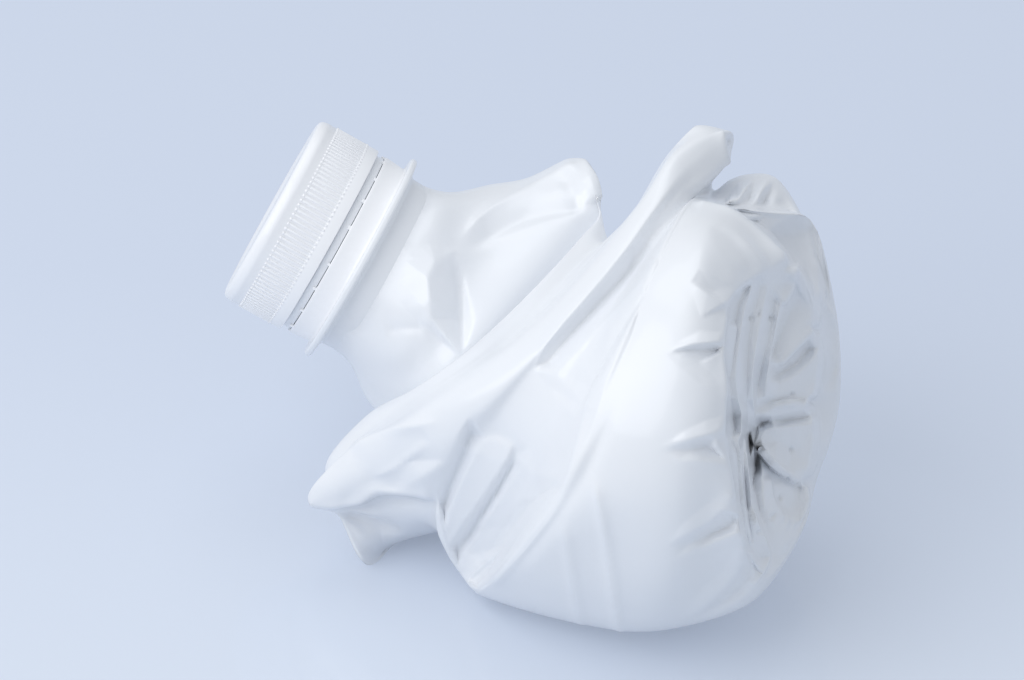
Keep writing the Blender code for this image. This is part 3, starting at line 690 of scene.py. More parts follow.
# %% The faces of the wall
RIM_WALL = ("rim", "flank")
WALL_SHARE = 1.3
relief(RIM_WALL, [
    [(708, 225, 0), (720, 231, -0.5), (732, 240, -0.8), (744, 254, -0.9), (753, 268, -0.7),
     (748, 280, -0.7)],
    [(722, 223, 0.1), (738, 233, 0.7), (750, 245, 1.0), (761, 259, 1.0), (765, 272, 0.6)],
    [(752, 239, 0), (764, 252, -0.3), (771, 265, -0.7), (771, 272, -0.7)],
    [(766, 246, 0.1), (778, 262, 0.2)],
], [(700, 222), (716, 212), (733, 216), (750, 229), (765, 243), (778, 257), (784, 266), (757, 275),
    (742, 286), (725, 262), (712, 240)], share=WALL_SHARE, rounding=6)
relief(RIM_WALL, [
    [(690, 283, 0.1), (708, 293.5, 0.9), (725, 304, 1.1)],
    [(696, 282, -0.3), (712, 291, -1.0), (730, 300, -1.2)],
], [(682, 278), (700, 268), (735, 285), (734, 292), (726, 306), (722, 325), (700, 318)], share=WALL_SHARE)
relief(RIM_WALL, [
    [(674, 350, 0.1), (695, 344.5, 0.8), (720, 342.5, 1.1)],
    [(672, 353, -0.1), (690, 350, -1.2), (720, 350, -2.2)],
    [(680, 358, -0.1), (699, 363, -0.7), (712, 374, -0.5), (718, 386, -0.1)],
], [(664, 352), (680, 340), (700, 330), (722, 332), (721, 352), (723, 380), (722, 395), (700, 385),
    (680, 368)], share=WALL_SHARE)
relief(RIM_WALL, [
    [(668, 446, 0.1), (690, 440, 0.7), (706, 436, 1.0), (722, 430, 0.8)],
    [(668, 452, -0.1), (690, 450, -1.0), (708, 447, -1.8), (717, 449, -2.0)],
    [(680, 460, 0.1), (700, 459, 0.3), (722, 462, 0.3)],
], [(655, 450), (680, 432), (705, 420), (723, 415), (722, 430), (714, 438), (716, 447), (725, 458),
    (728, 472), (700, 475), (675, 465)], share=WALL_SHARE)
relief(RIM_WALL, [
    [(731, 500, 0.4), (722, 512, 0.9), (708, 524, 0.9), (690, 534, 0.7), (672, 543, 0.1)],
    [(737, 517, -2.4), (726, 527, -2.4), (710, 534, -1.9), (692, 541, -1.0), (674, 547, -0.1)],
    [(738, 532, 0.2), (722, 539, 0.4), (700, 548, 0.2)],
], [(660, 549), (680, 525), (705, 505), (727, 488), (731, 490), (738, 515), (740, 530), (735, 545),
    (700, 562), (675, 558)], share=WALL_SHARE)
relief(("rim", "ridge"), [
    [(745, 551, 0.6), (743, 563, 1.0), (735, 577, 1.0), (720, 594, 0.9), (704, 607, 0.6), (690, 617, 0.1)],
    [(756, 560, -2.2), (748, 575, -2.6), (735, 591, -2.4), (718, 605, -1.6), (700, 616, -0.4)],
    [(764, 576, -0.2), (750, 592, 0.2), (730, 607, 0.2)],
], [(680, 620), (700, 590), (722, 570), (738, 545), (745, 545), (757, 556), (772, 565), (765, 588),
    (748, 600), (720, 615), (695, 623)], share=WALL_SHARE)

# %% [markdown]
# ### The faces of the band and the panel
# The grip grooves moulded into the bottle cross the fold. On the band one shallow groove runs slantwise,
# and on the panel below it a raised rib ends beside a dark groove. Between panel and wall the skin dips
# into a valley.

# %% The faces of the band and the panel
BAND_SHARE = 1.6
relief(("ridge", "crest"), [
    [(636, 238, 0.1), (600, 281, 0.4), (566, 319, 0.4), (546, 345, 0.2)],
    [(650, 251, -0.6), (630, 271, -1.2), (600, 303, -1.3), (570, 336, -1.3), (549, 362, -1.1)],
    [(655, 262, 0.2), (640, 283, 0.6), (612, 313, 0.7), (580, 347, 0.7), (557, 372, 0.5)],
    [(641, 300, -0.5), (626, 325, -1.5), (608, 358, -1.7), (593, 388, -1.4), (582, 404, -0.6)],
    [(646, 294, 0.2), (633, 318, 0.5), (616, 352, 0.6), (602, 382, 0.5), (590, 405, 0.2)],
], [(640, 225), (663, 240), (660, 262), (650, 292), (640, 320), (624, 355), (610, 385), (597, 412),
    (575, 418), (548, 388), (534, 368), (538, 340), (560, 308), (600, 268)], share=BAND_SHARE)
relief(("ridge", "band"), [
    [(690, 204, 0.3), (683, 211, 0.4), (672, 227, 0.4), (662, 247, 0.4), (654, 265, 0.3)],
    [(700, 196, -0.4), (716, 200, 0.0)],
], [(640, 272), (645, 245), (660, 212), (678, 192), (700, 184), (722, 192), (722, 203), (700, 206),
    (690, 215), (678, 240), (665, 268), (652, 280)], share=BAND_SHARE)
relief(("ridge", "band"), [
    [(474, 422, -0.3), (470, 434, -2.4), (465, 448, -1.6), (457, 470, -1.6), (450, 490, -1.8),
     (446, 503, -2.0), (444, 513, -1.0)],
    [(484, 436, -0.1), (498, 434, -0.1), (516, 443, -0.1)],
    [(511, 449, 0.5), (496, 441, 0.5), (482, 443, 0.5), (474, 452, 0.9), (463, 474, 1.0), (455, 492, 1.0),
     (449, 508, 0.8), (447, 525, 0.4)],
    [(511, 449, 0.5), (507, 462, 1.0), (495, 482, 1.1), (480, 505, 1.1), (466, 525, 0.9), (453, 542, 0.4)],
    [(515, 457, -0.8), (510, 470, -1.6), (498, 491, -2.0), (485, 511, -2.3), (473, 530, -2.8),
     (457, 548, -2.0)],
    [(522, 464, 0.8), (512, 478, 0.8), (498, 499, 0.7), (485, 517, 0.4), (479, 530, -0.4),
     (464, 552, -0.4)],
    [(535, 475, 0.1), (520, 500, -0.2), (500, 525, -0.6), (482, 553, -0.9)],
    [(553, 488, -0.8), (540, 496, -1.7), (527, 509, -2.2), (514, 527, -2.4), (504, 546, -2.5),
     (495, 561, -2.5), (486, 575, -2.7), (477, 583, -2.4)],
    [(557, 493, 0.2), (545, 503, 0.4), (533, 516, 0.6), (521, 534, 0.6), (510, 552, 0.6), (500, 568, 0.5),
     (490, 582, 0.2)],
    [(489, 560, -0.3), (480, 568, 0.1), (471, 577, 0.0)],
], [(476, 411), (500, 418), (530, 448), (560, 478), (563, 490), (545, 525), (520, 556), (494, 586),
    (478, 590), (469, 583), (459, 567), (450, 549), (446, 535), (441, 515), (437, 501), (442, 484),
    (450, 464), (459, 441), (470, 417)], share=BAND_SHARE)
relief(("panel", "sliver"), [
    [(312, 501, 0.0), (322, 504, 0.4), (340, 505, 1.0), (363, 503, 1.5), (369, 496, 1.2), (378, 490, 1.1),
     (400, 491, 1.3), (425, 493, 1.1), (435, 499, 0.2)],
    [(325, 508, -0.6), (345, 510, -1.0), (366, 508, -1.6), (382, 496, -1.8), (402, 497, -1.8),
     (424, 499, -1.2)],
    [(340, 512, -0.2), (365, 514, -0.5), (390, 514, -0.7), (418, 510, -0.5)],
    [(339, 514, -0.2), (360, 520, -1.5), (380, 527, -1.6), (400, 534, -0.6)],
    [(350, 525, -0.2), (368, 538, 0.0), (384, 545, 0.0)],
    [(400, 491, 1.3), (421, 478, 1.8), (427, 493, 1.1)],
    [(348, 452, 0.3), (338, 480, 0.3), (346, 499, 0.7)],
    [(367, 493, 1.1), (378, 478, 0.2), (400, 462, -0.2), (430, 440, 0.1)],
    [(363, 502, 1.5), (360, 485, 0.6), (352, 465, 0.2)],
    [(395, 487, 0.8), (410, 460, -0.5), (425, 440, -0.3)],
], [(309, 500), (326, 479), (341, 455), (352, 446), (383, 435), (420, 423), (450, 424), (448, 460),
    (441, 483), (436, 500), (424, 513), (408, 528), (398, 537), (385, 547), (370, 562), (357, 545),
    (347, 529), (338, 514), (322, 506)], share=BAND_SHARE)

# %% [markdown]
# ### The faces of the shoulder
# A thumb has pushed the shoulder in. Between a few crisp lines it is flat, and one small face catches the
# light.

# %% The faces of the shoulder
THUMB_BORDER = [
    (410, 247), (430, 243), (456, 249), (463, 275), (475, 320), (465, 352), (458, 356), (440, 340),
    (412, 318), (398, 300), (400, 282), (403, 265),
]
THUMB_FACES = [
    [(455, 249, 0.3), (435, 262, 1.3), (428, 277, 1.6), (430, 300, 1.5), (431, 319, 1.2)],
    [(402, 283, 0.2), (414, 295, 0.5), (422, 306, 0.9), (431, 319, 1.2), (458, 354, 0.4)],
    [(456, 252, 0.0), (463, 277, -0.9), (462, 320, -1.0), (463, 348, -0.2)],
]
relief(SHEET, THUMB_FACES, THUMB_BORDER, kind="flat", soft=0.8)

# %% [markdown]
# ## Pressing folds into the skin
# Now the faces have their creases, grooves and dents. Each is a path of picture places with a height and a
# width, and lifts the skin off its own surface or presses it in. A crease has a crisp line, a groove a
# round one, and a dent is one place.

# %% Pressing folds into the skin
outward = facing_of(skin)
press = np.zeros(skin.shape[:2])
fold_count = 0


def fold(kind, rings_between, height, width, picture_path, ends=(0.25, 0.25), sharp=0.3):
    """Presses one fold: a crease, a groove, or a dent at a single place."""
    global press, fold_count
    fold_count += 1
    places = skin[..., :2]
    path = np.array([on_board(x, y) for x, y in picture_path])
    mask = seen_side * ring_mask(*rings_between)
    if kind == "dent":
        reach = np.linalg.norm(places - path[0], axis=-1)
        press += height * mask * np.exp(-(reach / width) ** 2)
        return
    path = rounded_path(path)
    distance, along = path_distance(places, path)
    rise = smooth_step(along, 0.0, ends[0]) if ends[0] > 0 else 1.0
    fall = 1.0 - smooth_step(along, 1.0 - ends[1], 1.0) if ends[1] > 0 else 1.0
    strength = height * mask * rise * fall
    if kind == "crease":
        press += strength * np.exp(-np.sqrt(distance ** 2 + sharp ** 2) / width + sharp / width)
    elif kind == "groove":
        press += strength * np.exp(-(distance / width) ** 2)


print(press.size, "points of the skin can be pressed")

# %% [markdown]
# ### The shoulder
# The shoulder is pressed flat between two sharp ridges, with a small bright face where a thumb has pushed
# it in.

# %% The shoulder's folds
fold("crease", SHEET, 1.5, 2.2, [(584, 164), (540, 188), (500, 208), (480, 220), (455, 245)], ends=(0.1, 0.2))
fold("groove", SHEET, -1.0, 1.6, [(458, 250), (480, 241), (500, 228), (520, 218), (560, 207), (598, 206)])
fold("crease", SHEET, -0.5, 1.4, [(456, 250), (463, 275), (462, 320), (465, 350)])
fold("crease", SHEET, -0.6, 2.0, [(383, 333), (400, 328), (428, 329)])
fold("crease", SHEET, 0.7, 1.5, [(584, 163), (590, 180), (597, 202)], ends=(0.0, 0.1))
fold("groove", SHEET, -0.8, 1.6, [(563, 172), (575, 195), (580, 215)])
NECK_VALLEY = [(424, 186), (402, 232), (377, 284), (347, 334)]
fold("groove", ("sheet", "neck"), -0.7, 2.6, NECK_VALLEY, ends=(0.1, 0.1))
print(fold_count, "folds on the shoulder")

# %% [markdown]
# ### The diagonal band
# The band is the part of the body that the fold has turned to the front. It keeps the moulded grip grooves,
# which run slantwise along it, and its lower end is squashed into two points.

# %% The diagonal band's folds
BAND_EDGE = [(345, 450), (383, 435), (400, 428), (445, 421)]
fold("crease", ("panel", "sliver"), 0.9, 1.2, BAND_EDGE, ends=(0.2, 0.3))
VALLEY_RIB = [
    (307, 500), (318, 504), (345, 505), (362, 503), (370, 495), (378, 490), (400, 491), (425, 494),
    (437, 501),
]
fold("crease", ("panel", "sliver"), 0.9, 0.8, VALLEY_RIB, ends=(0.05, 0.1))
fold("groove", ("panel", "sliver"), -0.8, 1.0, [(330, 507), (360, 509), (380, 500), (400, 500), (430, 502)])
fold("groove", ("panel", "sliver"), -0.9, 0.9, [(338, 514), (370, 521), (403, 533)])
fold("crease", ("panel", "sliver"), 0.6, 0.9, [(370, 478), (400, 465), (430, 440)])
fold("crease", ("panel", "sliver"), 0.3, 0.6, [(337, 516), (347, 533), (358, 552), (368, 563)])
fold("crease", BAND, 0.9, 0.9, [(720, 130), (722, 145), (724, 158), (728, 165), (735, 175)], ends=(0.1, 0.3))
fold("dent", BAND, -1.2, 1.0, [(732, 141)])
print(fold_count, "folds with the band")

# %% [markdown]
# ### The grip grooves' panel
# Above the ridge lies a smooth hollow, and to its left the lower grip grooves end in raised ribs.

# %% The panel's folds
fold("crease", PANEL, 0.6, 1.2, [(627, 385), (612, 405), (595, 440), (562, 500)], ends=(0.3, 0.3))
LEFT_EDGE = [(437, 503), (442, 523), (446, 540), (450, 553), (462, 575), (478, 592)]
fold("crease", PANEL, 0.5, 0.7, LEFT_EDGE, ends=(0.1, 0.1))
print(fold_count, "folds with the panel")

# %% [markdown]
# ### The wall
# The round wall is nearly smooth. The main ridge and a soft groove bound it at the left, the crisp edge of
# the heel at the right, and two long light creases run down between them.

# %% The wall's folds
MAIN_RIDGE = [
    (640, 287), (622, 330), (610, 360), (590, 400), (575, 470), (560, 500), (545, 520), (520, 550),
    (490, 590),
]
BESIDE_RIDGE = [(617, 380), (596, 440), (588, 465), (560, 510), (535, 543), (500, 583)]
HEEL_EDGE = [
    (727, 311), (722, 335), (722, 358), (724, 385), (724, 402), (723, 428), (714, 438), (716, 447),
    (724, 456), (728, 472), (731, 492), (729, 506),
]
fold("crease", ("rim", "band"), 0.8, 1.3, MAIN_RIDGE, ends=(0.4, 0.05))
fold("groove", ("rim", "band"), -0.7, 1.8, BESIDE_RIDGE, ends=(0.3, 0.2))
fold("crease", ("rim", "heel"), 0.5, 0.7, HEEL_EDGE, ends=(0.05, 0.05))
fold("crease", WALL, 0.7, 0.9, [(594, 475), (608, 545), (620, 632)], ends=(0.15, 0.0))
fold("crease", WALL, 0.5, 0.9, [(563, 520), (570, 560), (580, 624)], ends=(0.2, 0.0))
print(fold_count, "folds with the wall")

# %% [markdown]
# ### The base
# The faces of the base get crisp edges where they meet, and a few dimples that catch the light.

# %% The base's folds
DIMPLES = [
    (792, 450), (781, 498), (793, 395), (787, 477), (772, 517), (757, 532), (760, 313), (752, 318),
    (772, 318),
]
for place in DIMPLES:
    fold("dent", BASE, -0.7, 0.45, [place])
BASE_EDGES = [
    [(692, 202), (716, 206), (733, 213), (750, 225), (765, 240), (780, 257), (787, 266)],
    [(752, 214), (785, 257), (820, 299), (837, 328)],
    [(804, 216), (805, 232), (813, 262), (825, 300)],
    [(787, 266), (801, 284), (811, 304), (817, 318), (813, 328)],
    [(787, 268), (791, 280), (789, 292), (780, 305)],
    [(813, 328), (800, 341), (788, 353), (778, 365)],
    [(814, 330), (819, 346), (820, 362), (818, 380), (815, 392), (808, 400)],
    [(767, 412), (772, 406), (785, 403), (805, 402), (811, 407), (815, 416), (816, 440), (813, 465),
     (803, 482)],
    [(754, 437), (758, 444), (765, 454), (773, 463), (780, 469), (789, 475), (801, 482)],
    [(767, 476), (768, 486), (770, 500), (776, 512), (784, 520), (792, 524)],
    [(804, 484), (806, 500), (803, 512), (797, 521), (790, 526)],
    [(734, 320), (730, 352), (728, 380), (730, 402)],
    [(735, 440), (736, 460), (738, 482), (741, 505), (745, 530), (750, 548)],
    [(748, 505), (754, 525), (762, 540), (768, 555), (762, 570), (748, 588)],
]
for path in BASE_EDGES:
    fold("crease", ("pit", "ridge"), 0.8, 0.55, path, ends=(0.1, 0.1))
print(fold_count, "folds with the base")

# %% [markdown]
# ## The skin as a mesh
# The pressed skin leaves the board and takes its place in the world. The deep fold under the band hides the
# seam between the body and the shoulder, and the normals of both come from the whole skin, so nothing shows
# there.

# %% The skin as a mesh
pressed = skin + outward * press[..., None]
skin_world = board_to_world(pressed) + set_down
row_step = np.gradient(skin_world, axis=0)
turn_step = np.roll(skin_world, -1, axis=1) - np.roll(skin_world, 1, axis=1)
skin_normal = np.cross(turn_step, row_step)
skin_normal /= np.maximum(np.linalg.norm(skin_normal, axis=-1, keepdims=True), 1e-12)
middle_of_skin = skin_world.mean(axis=(0, 1))
skin_turned = ((skin_world - middle_of_skin) * skin_normal).sum(axis=-1).mean() < 0.0
if skin_turned:
    skin_normal = -skin_normal
SEAM_ROW = int(station_of_row.searchsorted(ring_names.index("sliver") + 0.5))
print("seam at row", SEAM_ROW)


def skin_object(name, first_row, last_row, pole=None):
    """The rows from first to last as one object, closed by a pole where the middle of the base is."""
    rows = skin_world[first_row:last_row + 1]
    count, columns = rows.shape[:2]
    corners = rows.reshape(-1, 3)
    index = np.arange(count * columns).reshape(count, columns)
    after = np.roll(index, -1, axis=1)
    quads = np.stack((index[:-1], after[:-1], after[1:], index[1:]), axis=-1).reshape(-1, 4)
    if skin_turned:
        quads = quads[:, ::-1]
    faces = quads.tolist()
    normals = skin_normal[first_row:last_row + 1].reshape(-1, 3)
    if pole is not None:
        corners = np.vstack((corners, pole))
        normals = np.vstack((normals, normals[:columns].mean(axis=0)))
        fan = [(len(corners) - 1, after[0, c], index[0, c]) for c in range(columns)]
        faces += [face[::-1] for face in fan] if skin_turned else fan
    mesh = bpy.data.meshes.new(name)
    mesh.from_pydata(corners.tolist(), [], faces)
    mesh.shade_smooth()
    mesh.normals_split_custom_set_from_vertices(normals.tolist())
    piece = bpy.data.objects.new(name, mesh)
    bpy.context.collection.objects.link(piece)
    print(name, len(mesh.polygons), "faces")
    return piece


pit_pole = skin_world[0].mean(axis=0)
body_skin = skin_object("bottle_body_skin", 0, SEAM_ROW, pit_pole)
shoulder_skin = skin_object("bottle_shoulder_skin", SEAM_ROW, len(skin_world) - 1)

# %% [markdown]
# ## Standing turned pieces on the neck
# Turned pieces are easiest to make upright, about the vertical line through the origin, with heights
# measured from the middle of the carrying ring. Their finished meshes, not the objects, are then moved onto
# the neck.

# %% Standing turned pieces on the neck
neck_frame = Matrix((neck_top, np.cross(neck_axis, neck_top), neck_axis)).transposed().to_4x4()
neck_frame.translation = Vector(neck_origin)
SMOOTH_ANGLE = math.radians(50.0)
BEVEL_ANGLE = math.radians(35.0)
BEVEL_SEGMENTS = 2


def deselect_all():
    """Leaves edit mode and selects nothing."""
    if bpy.context.object and bpy.context.object.mode != "OBJECT":
        bpy.ops.object.mode_set(mode="OBJECT")
    bpy.ops.object.select_all(action="DESELECT")


def select_only(piece):
    """Makes one piece the selected and the active one."""
    deselect_all()
    piece.select_set(True)
    bpy.context.view_layer.objects.active = piece


def stand_on_neck(piece):
    """Puts a piece that was made upright onto the neck, with its place in its mesh."""
    piece.data.transform(neck_frame @ piece.matrix_world)
    piece.matrix_world = Matrix.Identity(4)
    piece.data.update()


def turned_piece(name, profile, steps):
    """Spins a closed profile of (radius, height), in millimetres, once round the vertical."""
    mesh = bpy.data.meshes.new(name)
    corners = [(radius * MM, 0.0, height * MM) for radius, height in profile]
    edges = [(i, (i + 1) % len(corners)) for i in range(len(corners))]
    mesh.from_pydata(corners, edges, [])
    piece = bpy.data.objects.new(name, mesh)
    bpy.context.collection.objects.link(piece)
    select_only(piece)
    bpy.ops.object.mode_set(mode="EDIT")
    bpy.ops.mesh.select_all(action="SELECT")
    bpy.ops.mesh.spin(steps=steps, angle=2.0 * math.pi, center=(0.0, 0.0, 0.0), axis=(0.0, 0.0, 1.0))
    bpy.ops.mesh.select_all(action="SELECT")
    bpy.ops.mesh.remove_doubles(threshold=0.00001)
    bpy.ops.mesh.normals_make_consistent(inside=False)
    bpy.ops.object.mode_set(mode="OBJECT")
    return piece


def finish_bevel(piece, width):
    """Takes the sharpness off a piece's edges and shades it."""
    select_only(piece)
    bevel = piece.modifiers.new("edges", "BEVEL")
    bevel.width = width * MM
    bevel.segments = BEVEL_SEGMENTS
    bevel.limit_method = "ANGLE"
    bevel.angle_limit = BEVEL_ANGLE
    bpy.ops.object.modifier_apply(modifier="edges")
    bpy.ops.object.shade_smooth_by_angle(angle=SMOOTH_ANGLE)
    print(piece.name, len(piece.data.polygons), "faces")


print("neck at", [round(float(v) * 1000.0, 1) for v in neck_origin], "mm")

# %% [markdown]
# ## The neck
# The neck is thick and round, because it is moulded, not blown. Its carrying ring is the thin flange by
# which the bottling machine holds it. A spun profile gives both, with the lip that the cap hides and the
# low bead that shows in the slit between the cap and the torn ring.

# %% The neck
FINISH_RADIUS = 18.7
FINISH_HEIGHT = 19.7
RING_RADIUS = 23.2
NECK_WALL = 1.6
BEAD_RADIUS = 20.05
BEAD_FOOT = 5.75
BEAD_HEIGHT = 1.7
half_ring = RING_THICKNESS / 2.0
neck = turned_piece("bottle_neck", [
    (NECK_RADIUS - NECK_WALL, -NECK_ROOT),
    (NECK_RADIUS - 0.05, -NECK_ROOT * 0.6),
    (NECK_RADIUS + 0.05, -half_ring - 0.9),
    (NECK_RADIUS + 0.7, -half_ring - 0.1),
    (RING_RADIUS - 0.3, -half_ring + 0.1),
    (RING_RADIUS, -half_ring + 0.45),
    (RING_RADIUS, half_ring - 0.35),
    (RING_RADIUS - 0.35, half_ring),
    (FINISH_RADIUS + 0.5, half_ring),
    (FINISH_RADIUS, half_ring + 0.4),
    (FINISH_RADIUS, BEAD_FOOT),
    (BEAD_RADIUS, BEAD_FOOT + 0.02),
    (BEAD_RADIUS, BEAD_FOOT + BEAD_HEIGHT - 0.02),
    (FINISH_RADIUS, BEAD_FOOT + BEAD_HEIGHT),
    (FINISH_RADIUS, FINISH_HEIGHT),
    (FINISH_RADIUS - NECK_WALL, FINISH_HEIGHT),
], steps=192)
finish_bevel(neck, width=0.12)
stand_on_neck(neck)

# %% [markdown]
# ## The cap
# The cap is a moulded cup. Its rim is rounded, a narrow smooth belt follows, and then come the grip ribs
# above a plain skirt. The cup is spun from its section.

# %% The cap's cup
CAP_RADIUS = 21.1
CAP_HEIGHT = 13.9
CAP_TOP_WALL = 1.4
CAP_SKIRT = 2.6
CAP_BELT = 1.7
RIB_COUNT = 120
RIB_HEIGHT = 0.24
TURN_GAP = 0.3
LIP_GAP = 0.4
cap_top = FINISH_HEIGHT + TURN_GAP + CAP_TOP_WALL
cap_foot = cap_top - CAP_HEIGHT
cap_inner = FINISH_RADIUS + LIP_GAP
rib_foot = cap_foot + CAP_SKIRT
belt_top = cap_top - 2.5
rib_top = belt_top - CAP_BELT
groove_radius = CAP_RADIUS - RIB_HEIGHT
cap = turned_piece("screw_cap", [
    (cap_inner, cap_foot),
    (CAP_RADIUS - 0.12, cap_foot),
    (CAP_RADIUS, cap_foot + 0.15),
    (CAP_RADIUS, rib_foot),
    (groove_radius, rib_foot + 0.3),
    (groove_radius, rib_top - 0.2),
    (groove_radius + 0.12, rib_top + 0.1),
    (groove_radius + 0.12, belt_top - 0.1),
    (CAP_RADIUS - 0.02, belt_top + 0.1),
    (CAP_RADIUS - 0.1, belt_top + 0.8),
    (CAP_RADIUS - 0.35, cap_top - 0.75),
    (CAP_RADIUS - 0.85, cap_top - 0.28),
    (CAP_RADIUS - 1.6, cap_top - 0.06),
    (CAP_RADIUS - 2.6, cap_top - 0.02),
    (CAP_RADIUS - 3.2, cap_top - 0.22),
    (0.02, cap_top - 0.22),
    (0.02, cap_top - CAP_TOP_WALL),
    (cap_inner, cap_top - CAP_TOP_WALL),
], steps=240)
finish_bevel(cap, width=0.08)

# %% [markdown]
# ### The ribs
# Each rib is a rounded bar that stands in the groove belt and ends in a small bead above and below. One is
# modelled and copied round.

# %% The ribs
RIB_ROUNDING = 0.14
RIB_BEAD_RADIUS = 0.34
deselect_all()
bpy.ops.mesh.primitive_cube_add(size=1.0, location=(0.0, 0.0, 0.0))
rib = bpy.context.object
rib.name = "cap_ribs"
rib_length = rib_top - rib_foot
rib_width = 2.0 * math.pi * groove_radius / RIB_COUNT * 0.5
rib.scale = (2.0 * RIB_HEIGHT * MM, rib_width * MM, (rib_length + 0.5) * MM)
rib.location = ((groove_radius + 0.05) * MM, 0.0, (rib_foot + rib_top) * 0.5 * MM)
bpy.ops.object.transform_apply(location=True, rotation=False, scale=True)
bpy.ops.object.mode_set(mode="EDIT")
bpy.ops.mesh.select_all(action="SELECT")
bpy.ops.mesh.bevel(offset=RIB_ROUNDING * MM, segments=BEVEL_SEGMENTS, affect="EDGES")
bpy.ops.object.mode_set(mode="OBJECT")
bead_mesh = bmesh.new()
bead_mesh.from_mesh(rib.data)
for height in (rib_foot + 0.15, rib_top - 0.1):
    bead = bmesh.ops.create_uvsphere(bead_mesh, u_segments=8, v_segments=5, radius=RIB_BEAD_RADIUS * MM)
    bead_place = ((CAP_RADIUS - 0.16) * MM, 0.0, height * MM)
    bmesh.ops.translate(bead_mesh, verts=bead["verts"], vec=bead_place)
one_rib = bpy.data.meshes.new("one rib")
bead_mesh.to_mesh(one_rib)
bead_mesh.free()
all_ribs = bmesh.new()
for number in range(RIB_COUNT):
    copy = one_rib.copy()
    copy.transform(Matrix.Rotation(2.0 * math.pi * number / RIB_COUNT, 4, "Z"))
    all_ribs.from_mesh(copy)
    bpy.data.meshes.remove(copy)
all_ribs.to_mesh(rib.data)
all_ribs.free()
select_only(rib)
bpy.ops.object.shade_smooth_by_angle(angle=SMOOTH_ANGLE)
stand_on_neck(rib)
stand_on_neck(cap)
print(RIB_COUNT, "ribs,", len(rib.data.polygons), "faces")

# %% [markdown]
# ## The tamper ring
# The ring below the cap broke off when the bottle was first opened, and lies loose on the carrying ring. It is
# turned like the cap, so its section is spun as well, with a foot that flares a little.

# %% The tamper ring
BAND_RADIUS = 20.7
BAND_WALL = 1.2
BAND_HEIGHT = 4.9
BRIDGE_COUNT = 9
STUB_DEPTH = 0.55
STUB_ROOT = 0.3
band_foot = half_ring + 0.01
band_top = band_foot + BAND_HEIGHT
tamper_ring = turned_piece("tamper_ring", [
    (cap_inner, band_foot),
    (cap_inner + BAND_WALL + 0.8, band_foot),
    (cap_inner + BAND_WALL + 0.3, band_foot + 0.15),
    (cap_inner + BAND_WALL + 0.05, band_foot + 0.6),
    (BAND_RADIUS - 0.02, band_top - 0.9),
    (BAND_RADIUS, band_top - 0.15),
    (BAND_RADIUS - 0.15, band_top),
    (cap_inner, band_top),
], steps=216)
finish_bevel(tamper_ring, width=0.08)

# %% [markdown]
# ### The torn bridges
# Thin bridges held the ring to the cap until the first opening tore them. Their stubs stand along the upper
# edge, no two alike, so a loop gives each small block its own height, width and lean. The random numbers start
# from a fixed seed, and so the stubs come out the same every time.

# %% The torn bridges
rng = np.random.default_rng(7)
stubs = bmesh.new()
for number in range(BRIDGE_COUNT * 2):
    angle = 2.0 * math.pi * (number + rng.uniform(-0.15, 0.15)) / (BRIDGE_COUNT * 2)
    height = rng.uniform(0.3, 0.75)
    width = rng.uniform(0.5, 0.9)
    made = bmesh.ops.create_cube(stubs, size=1.0)
    shape = Matrix.Diagonal((STUB_DEPTH * MM, width * MM, (height + STUB_ROOT) * MM, 1.0))
    place = Matrix.Translation(((BAND_RADIUS - 0.45) * MM, 0.0, (band_top + 0.5 * height - 0.15) * MM))
    tear = Matrix.Rotation(rng.uniform(-0.3, 0.3), 4, "X")
    turn = Matrix.Rotation(angle, 4, "Z")
    bmesh.ops.transform(stubs, verts=made["verts"], matrix=turn @ place @ tear @ shape)
stub_mesh = bpy.data.meshes.new("torn_bridges")
stubs.to_mesh(stub_mesh)
stubs.free()
torn_bridges = bpy.data.objects.new("torn_bridges", stub_mesh)
bpy.context.collection.objects.link(torn_bridges)
finish_bevel(torn_bridges, width=0.1)
for piece in (tamper_ring, torn_bridges):
    stand_on_neck(piece)

# %% [markdown]
# ## White plastic
# The bottle is blown from opaque white plastic, glossy and faintly blue. A skin that was handled is never
# quite even, so one noise changes its colour a little and another its gloss. The cap is duller and more
# scuffed than the bottle.

# %% White plastic
SPREAD_LOW = 0.15
SPREAD_HIGH = 0.85


def add_noise(tree, scale, detail):
    """A noise that is fixed to the piece, as a value from 0 to 1."""
    place = tree.nodes.new("ShaderNodeTexCoord")
    noise = tree.nodes.new("ShaderNodeTexNoise")
    noise.inputs["Scale"].default_value = scale
    noise.inputs["Detail"].default_value = detail
    tree.links.new(place.outputs["Object"], noise.inputs["Vector"])
    return noise.outputs["Fac"]


def add_spread(tree, value, low=0.0, high=1.0):
    """Turns the middle part of a noise into a smooth change from low to high."""
    spread = tree.nodes.new("ShaderNodeMapRange")
    spread.interpolation_type = "SMOOTHSTEP"
    spread.inputs["From Min"].default_value = SPREAD_LOW
    spread.inputs["From Max"].default_value = SPREAD_HIGH
    spread.inputs["To Min"].default_value = low
    spread.inputs["To Max"].default_value = high
    tree.links.new(value, spread.inputs["Value"])
    return spread.outputs["Result"]


def add_mix(tree, share, first, second):
    """A colour that goes from the first to the second with the share."""
    mix = tree.nodes.new("ShaderNodeMix")
    mix.data_type = "RGBA"
    mix.inputs[6].default_value = (*first, 1.0)
    mix.inputs[7].default_value = (*second, 1.0)
    tree.links.new(share, mix.inputs[0])
    return mix.outputs[2]


